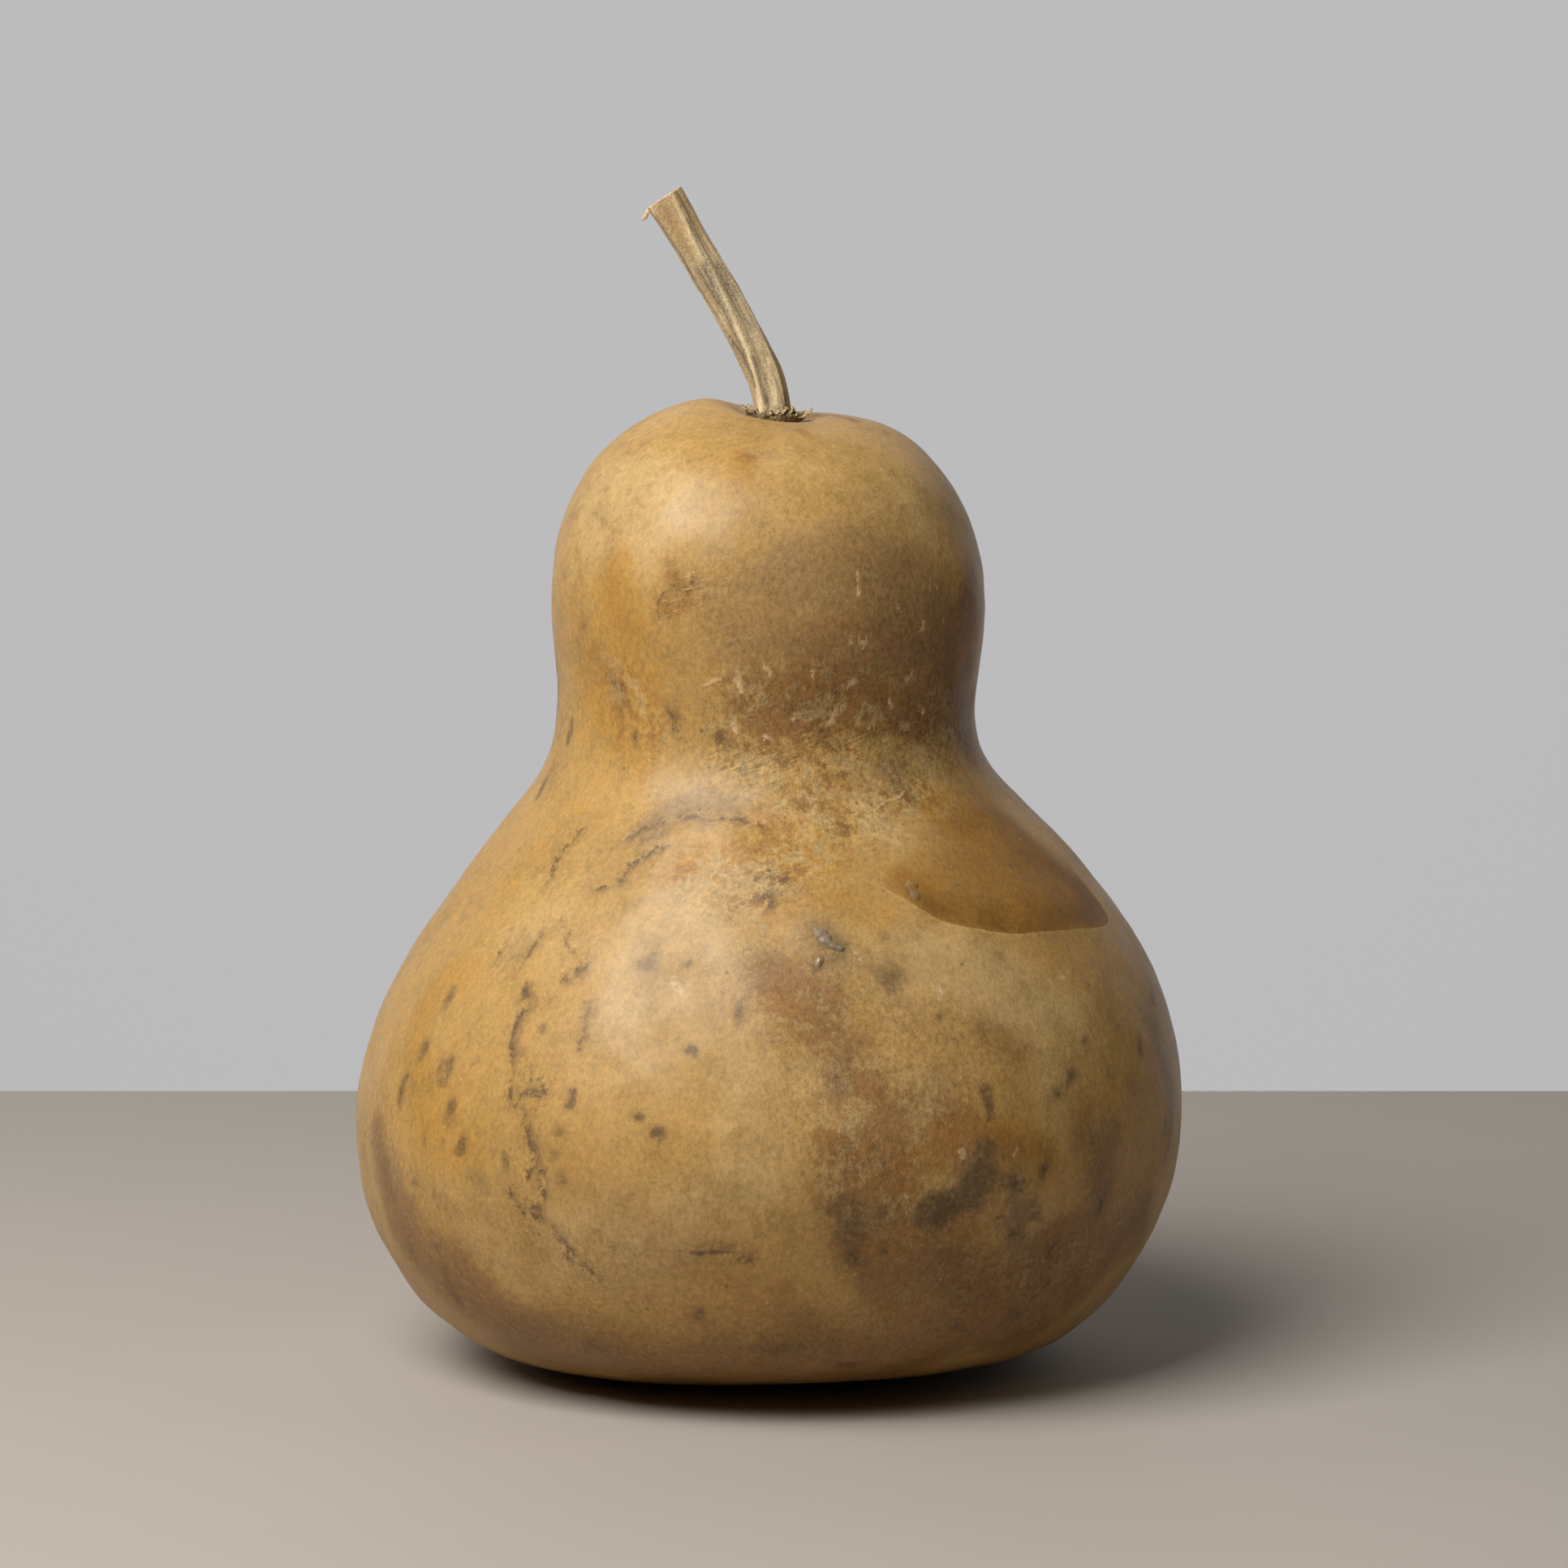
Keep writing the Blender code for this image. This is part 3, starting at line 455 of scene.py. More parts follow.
# Pale tan is also a painted highlight under the neck and on the lit left of the belly.
PALE_TAN = (0.49, 0.325, 0.138)
CREAM = (0.50, 0.345, 0.155)
RUST = (0.30, 0.14, 0.034)
SPOT_DARK = (0.09, 0.058, 0.028)
VEIN_DARK = (0.13, 0.080, 0.036)
# Fleck is a pale scuff colour, and also a painted highlight on the scar's nub.
FLECK = (0.62, 0.45, 0.23)
# PATCH_AMBER and PATCH_DARK colour the mark on the lower bulb's right shoulder: partly an amber stain,
# partly a painted shadow and dark reflection of the upper bulb.
PATCH_AMBER = (0.25, 0.112, 0.018)
RIM_PALE = (0.56, 0.36, 0.14)
PATCH_DARK = (0.17, 0.075, 0.013)
SCAR_GREY = (0.235, 0.18, 0.115)
RIB_CREAM = (0.60, 0.47, 0.27)
STALK_TAN = (0.42, 0.32, 0.18)
STALK_END = (0.36, 0.23, 0.10)
GROOVE_BROWN = (0.27, 0.185, 0.095)
SPECKLE_GREY = (0.06, 0.052, 0.045)
CORK_TAN = (0.48, 0.35, 0.18)
CORK_DARK = (0.11, 0.072, 0.04)
FLOOR_TONE = (0.42, 0.375, 0.325)
WALL_TONE = (0.50, 0.50, 0.51)

# The noises in the finishes: the size of their lumps, their detail and their roughness.
SKIN_CLOUDS = (55.0 * MM, 4.0, 0.55)
SKIN_BLOTCHES = (18.0 * MM, 5.0, 0.62)
SKIN_CURDS = (7.0 * MM, 5.0, 0.72)
SKIN_CRUMBS = (2.6 * MM, 4.0, 0.8)
SKIN_SUEDE = (1.1 * MM, 3.0, 0.85)
SKIN_SCRATCHES = (0.45 * MM, 2.0, 0.5)
SKIN_CREASES = (0.9 * MM, 3.0, 0.6)
STALK_GRAIN = (0.4 * MM, 3.0, 0.85)
STALK_FIBRES = (0.7 * MM, 4.0, 0.7)
STALK_CLOUDS = (7.0 * MM, 3.0, 0.55)
CORK_CRUMBS = (0.8 * MM, 4.0, 0.7)
CORK_LUMPS = (2.6 * MM, 3.0, 0.55)
FLOOR_NOISE = (90.0 * MM, 3.0, 0.55)

# How some noises are stretched, the lean of the scratches, and the size and the shift of the
# scattered dots and flecks.
SUEDE_STRETCH = (1.0, 1.0, 0.75)
SCRATCH_STRETCH = (0.03, 0.3, 1.0)
CREASE_STRETCH = (0.2, 0.2, 1.0)
FIBRE_STRETCH = (1.0, 1.0, 0.2)
SCRATCH_LEAN = math.radians(19.0)
SKIN_DOTS = (5.5 * MM, 0.3)
SKIN_FLECKS = (3.6 * MM, 0.9)

# How the finishes shine, and how deep their finest bumps are.
SKIN_ROUGHNESS = 0.50
SKIN_SPECULAR = 0.15
SKIN_COAT = 0.25
SKIN_COAT_ROUGHNESS = 0.30
SKIN_BUMP = 0.12 * MM
STALK_ROUGHNESS = 0.66
STALK_BUMP = 0.25 * MM
CORK_ROUGHNESS = 0.85
CORK_BUMP = 0.2 * MM
DRY_SPECULAR = 0.3
FLOOR_ROUGHNESS = 0.7
WALL_ROUGHNESS = 0.9

# The studio. Each softbox has an angle from the front and a rise in degrees, its distance, its
# width and height, its power in watts and its tone. All are turned towards the gourd's middle.
AIM = (0.0, 0.0, 0.11)
SOFTBOXES = (
    ("key_softbox", -41.0, 48.0, 1.15, (0.85, 0.72), 19.5, (1.0, 1.0, 1.0)),
    ("left_strip", -105.0, 30.0, 1.2, (0.4, 0.8), 1.3, (1.0, 0.94, 0.78)),
    ("right_strip", 82.0, 40.0, 1.2, (0.4, 0.8), 0.75, (1.0, 0.93, 0.74)),
)
WORLD_TONE = (0.84, 0.80, 0.74)
WORLD_LIGHT = 0.012
FLOOR_SIZE = 6.0
FLOOR_BACK = 0.35
FLOOR_DEPTH = 0.1
FLOOR_EDGE_RADIUS = 0.02
FLOOR_EDGE_STEPS = 8
WALL_DISTANCE = 2.4
WALL_BOTTOM = -2.0
WALL_TOP = 3.0
WALL_GLOW = 0.84


def eased(share):
    """A smooth step from 0 to 1."""
    share = np.clip(share, 0.0, 1.0)
    return share * share * (3.0 - 2.0 * share)


def fade_in(distance, start, reach):
    """A smooth step from 0 at a start to 1 one reach further."""
    return eased((distance - start) / reach)


def smooth_rows(rows, along, read):
    """Read an array at places along a natural cubic spline through its rows."""
    count = len(rows)
    flat = rows.reshape(count, -1)
    spans = np.diff(along)
    system = np.eye(count)
    wanted = np.zeros_like(flat)
    for i in range(1, count - 1):
        system[i, i - 1 : i + 2] = spans[i - 1], 2.0 * (spans[i - 1] + spans[i]), spans[i]
        slope_before = (flat[i] - flat[i - 1]) / spans[i - 1]
        slope_after = (flat[i + 1] - flat[i]) / spans[i]
        wanted[i] = 6.0 * (slope_after - slope_before)
    bend = np.linalg.solve(system, wanted)
    span = np.clip(np.searchsorted(along, read, side="right") - 1, 0, count - 2)
    width = spans[span][:, None]
    past = (read - along[span])[:, None]
    left = width - past
    curve = (bend[span] * left**3 + bend[span + 1] * past**3) / (6.0 * width)
    from_start = (flat[span] / width - bend[span] * width / 6.0) * left
    from_end = (flat[span + 1] / width - bend[span + 1] * width / 6.0) * past
    return (curve + from_start + from_end).reshape(len(read), *rows.shape[1:])


def lengths_along(points):
    """How far along a run of points each one lies."""
    steps = np.linalg.norm(np.diff(points, axis=0), axis=1)
    return np.concatenate([[0.0], np.cumsum(steps)])


def turn(count):
    """Evenly spaced angles once round."""
    return 2.0 * np.pi * np.arange(count) / count


def level_ways(count):
    """Level directions once round."""
    angles = turn(count)
    return np.stack([np.cos(angles), np.sin(angles), 0.0 * angles], axis=1)


def unit(vectors):
    """Vectors in rows, made one long."""
    return vectors / np.linalg.norm(vectors, axis=1)[:, None]


def closest(points, places):
    """Which of some points is the nearest to each of some places."""
    return [np.argmin(((points - place) ** 2).sum(axis=1)) for place in places]


def finer_rings(rings, columns):
    """Give evenly turned rings more columns, with no corner between the old ones."""
    waves = np.fft.rfft(rings, axis=1)
    return np.fft.irfft(waves, n=columns, axis=1) * (columns / rings.shape[1])


def add_object(name, data):
    """Put a new object into the scene."""
    made = bpy.data.objects.new(name, data)
    bpy.context.scene.collection.objects.link(made)
    return made


class Ripple:
    """Smooth seeded noise in space, about -1 to 1, with waves of about one length."""

    WAVES = 24
    SPREAD = (0.6, 1.5)

    def __init__(self, length, seed):
        draw = np.random.default_rng(seed)
        ways = unit(draw.normal(size=(self.WAVES, 3)))
        self.waves = ways * (2.0 * np.pi / length) * draw.uniform(*self.SPREAD, (self.WAVES, 1))
        self.starts = draw.uniform(0.0, 2.0 * np.pi, self.WAVES)

    def at(self, points):
        """The noise at each point."""
        turns = points @ self.waves.T + self.starts
        return np.sin(turns).sum(axis=-1) / math.sqrt(self.WAVES)


def relief(points, layers):
    """How far some layers of smooth noise, each with its depth, lift each point."""
    return sum(depth * Ripple(length, seed).at(points) for depth, length, seed in layers)


class Camera:
    """The photograph's view, which turns one of its pixels into a line of sight."""

    def __init__(self):
        self.place = Vector(CAMERA_PLACE)
        self.forward = Vector((0.0, math.cos(CAMERA_TILT), -math.sin(CAMERA_TILT)))
        self.right = Vector((1.0, 0.0, 0.0))
        self.up = self.right.cross(self.forward)

    def sight(self, pixel):
        """The direction that one pixel looks in."""
        across = (pixel[0] - PHOTO_SIDE / 2) / FOCAL_PIXELS
        rise = (PHOTO_SIDE / 2 - pixel[1]) / FOCAL_PIXELS
        return (self.forward + self.right * across + self.up * rise).normalized()

    def add_to_scene(self):
        """Make the render's camera."""
        data = bpy.data.cameras.new("photo_camera")
        data.sensor_width = SENSOR_MM
        data.lens = FOCAL_PIXELS * SENSOR_MM / PHOTO_SIDE
        data.clip_end = CAMERA_SIGHT_END
        camera = add_object("photo_camera", data)
        camera.location = self.place
        camera.rotation_euler = (math.pi / 2 - CAMERA_TILT, 0.0, 0.0)
        bpy.context.scene.camera = camera


class Canvas:
    """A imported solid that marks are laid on, with the photograph's view of it."""

    def __init__(self, node, camera):
        points = [vertex.co.copy() for vertex in node.data.vertices]
        faces = [tuple(face.vertices) for face in node.data.polygons]
        self.solid = BVHTree.FromPolygons(points, faces)
        self.camera = camera

    def under(self, pixel):
        """The place on the solid that a pixel of the photograph shows."""
        hit = self.solid.ray_cast(self.camera.place, self.camera.sight(pixel))[0]
        if hit is None:
            raise ValueError(f"pixel {pixel} isn't on the piece")
        return np.array(hit)


class Skin(Canvas):
    """The fine surface of the fruit, as rows of points from its base to its socket."""

    def __init__(self, node, camera):
        super().__init__(node, camera)
        outline = self.outline(node)
        base = self.base_rows(outline[0])
        socket = self.socket_rows(outline[-1])
        self.grid = np.concatenate([base, outline, socket])
        self.points = self.grid.reshape(-1, 3)
        self.outward = self.normals()

    @staticmethod
    def outline(node):
        """The skin from the edge of the flat base to the dimple, through the solid's own points."""
        points = np.unique(np.round([vertex.co for vertex in node.data.vertices], 7), axis=0)
        across, deep, height = points.T
        reach = np.hypot(across, deep)
        in_scar = (reach < SCAR_REACH - SCAR_MIDDLE[0] + SCAR_MARGIN) & (height < SCAR_TOP)
        from_socket = np.hypot(across - SOCKET_MIDDLE[0], deep - SOCKET_MIDDLE[1])
        in_socket = (from_socket < SOCKET_RADIUS + SOCKET_MARGIN) & (height > WAIST_HEIGHT)
        on_skin = ~(in_scar | in_socket)
        turns = np.arctan2(deep, across) * SOLID_COLUMNS / (2.0 * np.pi)
        column = np.round(turns).astype(int) % SOLID_COLUMNS
        rise = np.arctan2(height - WAIST_HEIGHT, reach)
        columns = []
        for number in range(SOLID_COLUMNS):
            chosen = np.flatnonzero(on_skin & (column == number))
            columns.append(points[chosen[np.argsort(rise[chosen])]])
        rings = finer_rings(np.stack(columns, axis=1), SKIN_COLUMNS)
        steps = np.linalg.norm(np.diff(rings, axis=0), axis=2).mean(axis=1)
        along = np.concatenate([[0.0], np.cumsum(steps)])
        return smooth_rows(rings, along, np.linspace(0.0, along[-1], SKIN_ROWS))

    @staticmethod
    def base_rows(edge):
        """The scar where the flower dropped off, from its nub outward, and the flat base round it."""
        middle = np.array([*SCAR_MIDDLE, 0.0])
        ways = level_ways(SKIN_COLUMNS)
        rows = []
        for share in np.linspace(SCAR_FIRST_SHARE, 1.0, SCAR_ROWS):
            reach = share * SCAR_REACH
            bowl = SCAR_DEPTH * (1.0 - share**2) ** 2
            nub = SCAR_NUB_RISE * math.exp(-((reach / SCAR_NUB_REACH) ** 2))
            rows.append(middle + ways * reach + np.array([0.0, 0.0, bowl - nub]))
        rim = rows[-1]
        for share in np.linspace(0.0, 1.0, FLAT_ROWS + 2)[1:-1]:
            rows.append(rim + (edge - rim) * share)
        return np.array(rows)

    @staticmethod
    def socket_rows(dimple):
        """The blind socket that the stalk stands in."""
        ring = level_ways(SKIN_COLUMNS) * SOCKET_RADIUS
        rim = ring + np.array([*SOCKET_MIDDLE, SOCKET_RIM])
        floor = ring + np.array([*SOCKET_MIDDLE, SOCKET_FLOOR])
        return np.array([0.5 * (dimple + rim), rim, 0.5 * (rim + floor), floor])

    def normals(self):
        """The outward direction at each point of the skin."""
        across = np.roll(self.grid, -1, axis=1) - np.roll(self.grid, 1, axis=1)
        onward = np.gradient(self.grid, axis=0)
        outward = np.cross(across, onward)
        outward /= np.maximum(np.linalg.norm(outward, axis=2)[..., None], NEAR_ZERO)
        return outward.reshape(-1, 3)

    def facing(self, angle, height):
        """The place on the fruit at a compass angle in degrees and a height."""
        way = Vector((math.cos(math.radians(angle)), math.sin(math.radians(angle)), 0.0))
        return np.array(self.solid.ray_cast(Vector((0.0, 0.0, height)), way)[0])


def smooth_path(places):
    """A run of places, read finely along a smooth curve through them."""
    places = np.array(places)
    if len(places) < 3:
        return places
    along = lengths_along(places)
    count = max(3, int(along[-1] / PATH_STEP))
    return smooth_rows(places, along, np.linspace(0.0, along[-1], count))


def ways_to_path(points, path):
    """Each straight step of a path, with the way to each point from its nearest place on the step."""
    for start, end in zip(path[:-1], path[1:]):
        step = end - start
        share = np.clip((points - start) @ step / max(step @ step, NEAR_ZERO), 0.0, 1.0)
        yield step, points - start - share[:, None] * step


def distance_to_path(points, path):
    """How far each point is from a run of straight steps."""
    if len(path) == 1:
        return np.linalg.norm(points - path[0], axis=1)
    return np.min([np.linalg.norm(away, axis=1) for _, away in ways_to_path(points, path)], axis=0)


class Brush:
    """Lays soft, ragged strokes on a canvas and keeps each kind of mark as one field."""

    def __init__(self, canvas, least_width):
        self.canvas = canvas
        self.least_width = least_width
        self.broad = self.wander(canvas.points, *BROAD_WANDER)
        self.fine = self.wander(canvas.points, *FINE_WANDER)
        self.fields = {}

    @staticmethod
    def wander(points, length, seed):
        """A small, smooth push in three directions, which keeps strokes from looking drawn."""
        return np.stack([Ripple(length, seed + axis).at(points) for axis in range(3)], axis=1)

    def near(self, path, reach):
        """Which points of the canvas are near a path."""
        points = self.canvas.points
        low = path.min(axis=0) - reach
        high = path.max(axis=0) + reach
        return np.flatnonzero(np.all((points > low) & (points < high), axis=1))

    def stroke(self, kind, path, width, strength):
        """Lay one soft stroke along a path."""
        width = max(width, self.least_width)
        field = self.fields.setdefault(kind, np.zeros(len(self.canvas.points)))
        near = self.near(path, STROKE_REACH * width)
        push = self.broad[near] if width > BROAD_STROKE else self.fine[near]
        away = distance_to_path(self.canvas.points[near] + push * width * STROKE_PUSH, path)
        mark = strength * np.exp(-((away / width) ** 2))
        field[near] = 1.0 - (1.0 - field[near]) * (1.0 - mark)

    def line(self, kind, path, width, strength):
        """Lay a thin line: a soft zone round it, and how many widths each point is from its middle."""
        zone = LINE_ZONES[kind]
        self.stroke(kind, path, zone, strength)
        sides = self.fields.setdefault(kind + "_side", np.full(len(self.canvas.points), FAR_FROM_LINE))
        near = self.near(path, LINE_REACH * zone)
        points = self.canvas.points[near] + self.fine[near] * LINE_PUSH
        side = side_of_path(points, self.canvas.outward[near], path) / width
        closer = np.abs(side) < np.abs(sides[near])
        sides[near[closer]] = side[closer]

    def seen_path(self, places):
        """The path over the canvas that some pixels show, from their x and y in turn."""
        return smooth_path([self.canvas.under(pixel) for pixel in zip(places[::2], places[1::2])])

    def strokes(self, kinds):
        """Lay strokes that are given by pixels of the photograph."""
        for kind, marks in kinds.items():
            for width, strength, *places in marks:
                self.stroke(kind, self.seen_path(places), width * PIXEL, strength)

    def lines(self, kinds):
        """Lay thin lines that are given by pixels of the photograph."""
        for kind, marks in kinds.items():
            for width, strength, *places in marks:
                self.line(kind, self.seen_path(places), width * PIXEL, strength)

    def seeded_marks(self):
        """Lay marks of the same kinds on the side that the photograph doesn't show."""
        draw = random.Random(BACK_SEED)
        for kind, count, widths, strengths, lengths in BACK_STROKES:
            for _ in range(count):
                width = draw.uniform(*widths) * PIXEL
                strength = draw.uniform(*strengths)
                length = draw.uniform(*lengths) * PIXEL
                self.stroke(kind, self.back_path(draw, length, 2), width, strength)
        for kind, count, widths, strengths, lengths, steps in BACK_LINES:
            for _ in range(count):
                path = self.back_path(draw, draw.uniform(*lengths) * MM, steps)
                self.line(kind, path, draw.uniform(*widths) * PIXEL, draw.uniform(*strengths))

    def back_path(self, draw, length, steps):
        """A wandering path down the back of the fruit."""
        angle = draw.uniform(*BACK_ANGLES)
        height = draw.uniform(*BACK_HEIGHTS)
        lean = draw.uniform(*BACK_LEANS)
        places = []
        for step in range(steps):
            down = height - length * step / steps
            turned = angle + math.degrees(lean * length * step / steps / BACK_RADIUS)
            turned += draw.uniform(*BACK_SWAY) if steps > 2 else 0.0
            places.append(self.canvas.facing(turned, max(down, BACK_LOWEST)))
        return smooth_path(places)


def side_of_path(points, outward, path):
    """How far to the left of a path over the skin each point lies, seen from outside."""
    nearest = np.full(len(points), np.inf)
    side = np.zeros(len(points))
    for step, away in ways_to_path(points, path):
        distance = np.linalg.norm(away, axis=1)
        closer = distance < nearest
        nearest[closer] = distance[closer]
        inward = np.cross(outward[closer], step)
        side[closer] = np.sign((inward * away[closer]).sum(axis=1))
    return nearest * side


def rows_closed(grid):
    """Points and faces of a closed skin over rows of points that close on themselves."""
    rows, columns = grid.shape[:2]
    here = np.arange(rows * columns).reshape(rows, columns)
    after = np.roll(here, -1, axis=1)
    faces = np.stack([here[:-1], after[:-1], after[1:], here[1:]], axis=2).reshape(-1, 4).tolist()
    first = rows * columns
    last = first + 1
    faces += [(first, int(b), int(a)) for a, b in zip(here[0], after[0])]
    faces += [(int(a), int(b), last) for a, b in zip(here[-1], after[-1])]
    ends = [grid[0].mean(axis=0), grid[-1].mean(axis=0)]
    return np.concatenate([grid.reshape(-1, 3), ends]), faces


def joined(parts):
    """Put several sets of points and faces together."""
    points = []
    faces = []
    total = 0
    for some_points, some_faces in parts:
        points.append(some_points)
        faces += [tuple(index + total for index in face) for face in some_faces]
        total += len(some_points)
    return np.concatenate(points), faces


def new_piece(name, points, faces):
    """Make a smooth-shaded object out of points and faces."""
    mesh = bpy.data.meshes.new(name)
    mesh.from_pydata(np.asarray(points).tolist(), [], faces)
    mesh.shade_smooth()
    mesh.update()
    return add_object(name, mesh)


def store_field(piece, name, values):
    """Keep one number for each point of a piece, for its finish to read."""
    padded = np.zeros(len(piece.data.vertices), np.float32)
    padded[: len(values)] = values
    attribute = piece.data.attributes.new(name, "FLOAT", "POINT")
    attribute.data.foreach_set("value", padded)


def welt(path, outward, half_width, rise):
    """A low raised scar along a path over the skin, as points and faces."""
    along = lengths_along(path)
    share = np.linspace(-1.0, 1.0, WELT_ROWS)
    read = (share + 1.0) * 0.5 * along[-1]
    path = smooth_rows(path, along, read)
    outward = smooth_rows(outward, along, read)
    ways = unit(np.gradient(path, axis=0))
    path = path + ways * (half_width * share**WELT_TIP_POWER)[:, None]
    taper = np.sqrt(1.0 - WELT_TAPER * share**WELT_TAPER_POWER) * (1.0 + relief(path, WELT_LUMPS))
    angles = turn(WELT_COLUMNS)
    sideways = np.cross(outward, ways)
    across = half_width * np.cos(angles)[:, None] * sideways[:, None]
    up = rise * np.sin(angles)[:, None] * outward[:, None]
    return rows_closed(path[:, None] + (across + up) * taper[:, None, None])


def lay_marks(skin):
    """Every mark on the fruit, as one field for each kind."""
    brush = Brush(skin, LEAST_MARK)
    brush.strokes(SKIN_STROKES)
    brush.lines(SKIN_LINES)
    edge = brush.seen_path(PATCH_EDGE)
    side = side_of_path(skin.points, skin.outward, edge) / PATCH_SCALE
    brush.fields["patch_side"] = np.clip(side, -1.0, 1.0)
    brush.seeded_marks()
    return brush


def make_skin(camera):
    """The fruit's fine skin, with its marks, its low relief and its raised scars."""
    skin = Skin(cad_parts["gourd_body"], camera)
    brush = lay_marks(skin)
    height = skin.points[:, 2]
    clear_of_floor = fade_in(height, *FLOOR_CLEARANCE)
    clear_of_stem = fade_in(np.hypot(*skin.points[:, :2].T), *STEM_CLEARANCE)
    clear = clear_of_floor * np.where(height > WAIST_HEIGHT, clear_of_stem, 1.0)
    rise = relief(skin.points, SKIN_RELIEF) - SPOT_DEPTH * brush.fields["spots"]
    lifted = (rise * clear)[:, None] * skin.outward
    parts = [rows_closed(skin.grid + lifted.reshape(skin.grid.shape))]
    greyness = [np.zeros(len(parts[0][0]))]
    for half_width, scar_rise, grey, *places in RAISED_SCARS:
        path = brush.seen_path(places)
        outward = skin.outward[closest(skin.points, path)]
        parts.append(welt(path, outward, half_width * PIXEL, scar_rise * PIXEL))
        greyness.append(np.full(len(parts[-1][0]), grey))
    points, faces = joined(parts)
    piece = new_piece("gourd_skin", points, faces)
    ends = [0, len(skin.points) - 1]
    below = closest(skin.points, points[len(parts[0][0]) :])
    source = np.concatenate([np.arange(len(skin.points)), ends, below]).astype(int)
    for kind, field in brush.fields.items():
        store_field(piece, kind, field[source])
    store_field(piece, "welts", np.concatenate(greyness))
    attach(piece, "root")
    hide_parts("gourd_body")
    return piece


class Stalk(Canvas):
    """The fine stalk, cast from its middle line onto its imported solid."""

    def __init__(self, node, camera):
        super().__init__(node, camera)
        rows = np.array(STEM_LINE) * MM
        along = lengths_along(rows)
        self.read = np.linspace(STEM_END_GAP, along[-1] - STEM_END_GAP, STEM_ROWS)
        self.below_pith = self.read < along[-1] - STEM_PITH_DEPTH
        self.middle = smooth_rows(rows, along, self.read)
        self.ways = unit(np.gradient(self.middle, self.read, axis=0))
        self.share = self.read / along[-1]
        self.angles = turn(STEM_COLUMNS)
        self.across = unit(np.cross(np.array([0.0, 1.0, 0.0]), self.ways))
        deep = np.cross(self.ways, self.across)
        sideways = self.across[:, None] * np.cos(self.angles)[:, None]
        self.out = sideways + deep[:, None] * np.sin(self.angles)[:, None]
        self.reach = self.smoothed(self.cast())
        self.first_rib = STEM_FOOT_RIB + STEM_TWIST * self.share[:, None]
        self.groove = np.sin(0.5 * STEM_RIBS * (self.angles - self.first_rib)) ** 2
        self.grid = self.surface()
        self.points = self.grid.reshape(-1, 3)
        self.outward = self.out.reshape(-1, 3)

    def cast(self):
        """How far the solid's surface is from the middle line, all round, carried on past its pith."""
        reach = np.zeros(self.out.shape[:2])
        last = np.count_nonzero(self.below_pith)
        for row, middle in enumerate(self.middle[:last]):
            for column, way in enumerate(self.out[row]):
                hit = self.solid.ray_cast(Vector(middle), Vector(way), STEM_REACH)
                reach[row, column] = hit[3] if hit[0] else reach[row - 1, column]
        reach[last:] = reach[last - 1]
        return reach

    @staticmethod
    def smoothed(reach):
        """Take the solid's flat facets out of its surface."""
        waves = np.fft.rfft(reach, axis=1)
        waves[:, STEM_WAVES_KEPT + 1 :] = 0.0
        reach = np.fft.irfft(waves, n=reach.shape[1], axis=1)
        rows = STEM_BLENDED_ROWS
        kernel = np.exp(-np.linspace(-2.0, 2.0, 2 * rows + 1) ** 2)
        padded = np.pad(reach, ((rows, rows), (0, 0)), mode="edge")
        blended = [padded[i : i + len(reach)] * weight for i, weight in enumerate(kernel)]
        return np.sum(blended, axis=0) / kernel.sum()

    def surface(self):
        """The stalk's skin with its fibres and its pitted grooves."""
        upright = np.array([0.0, 0.0, 1.0])
        unrolled = STEM_GIRTH * level_ways(STEM_COLUMNS) + self.read[:, None, None] * upright
        fibres = Ripple(*STEM_FIBRES).at(unrolled * np.array(STEM_FIBRE_STRETCH))
        pits = np.maximum(Ripple(*STEM_PITS).at(unrolled), 0.0)
        rise = STEM_FIBRE_DEPTH * fibres - STEM_PIT_DEPTH * self.groove * pits
        clear = fade_in(self.middle[:, 2], *COLLAR_CLEARANCE)[:, None]
        return self.middle[:, None] + self.out * (self.reach + rise * clear)[..., None]

    def cut_rows(self, rim):
        """The roughly cut end, from its torn rim to its hollow pith."""
        middle = self.middle[-1]
        draw = np.random.default_rng(STEM_CUT_SEED)
        tear = draw.normal(0.0, STEM_CUT_ROUGHNESS, STEM_COLUMNS)
        waves = np.sin(STEM_CUT_WAVES * self.angles + 1.0)
        tear = tear + STEM_CUT_CARRY * np.roll(tear, 1) + STEM_CUT_WAVE_RISE * waves
        rows = []
        for share, rise in STEM_CUT_ROWS:
            lean = STEM_CUT_LEAN * ((rim - middle) @ self.across[-1]) * share
            up = rise * MM + tear * min(1.0, STEM_CUT_FADE * share) + lean
            rows.append(middle + (rim - middle) * share + self.ways[-1] * up[:, None])
        return np.array(rows)


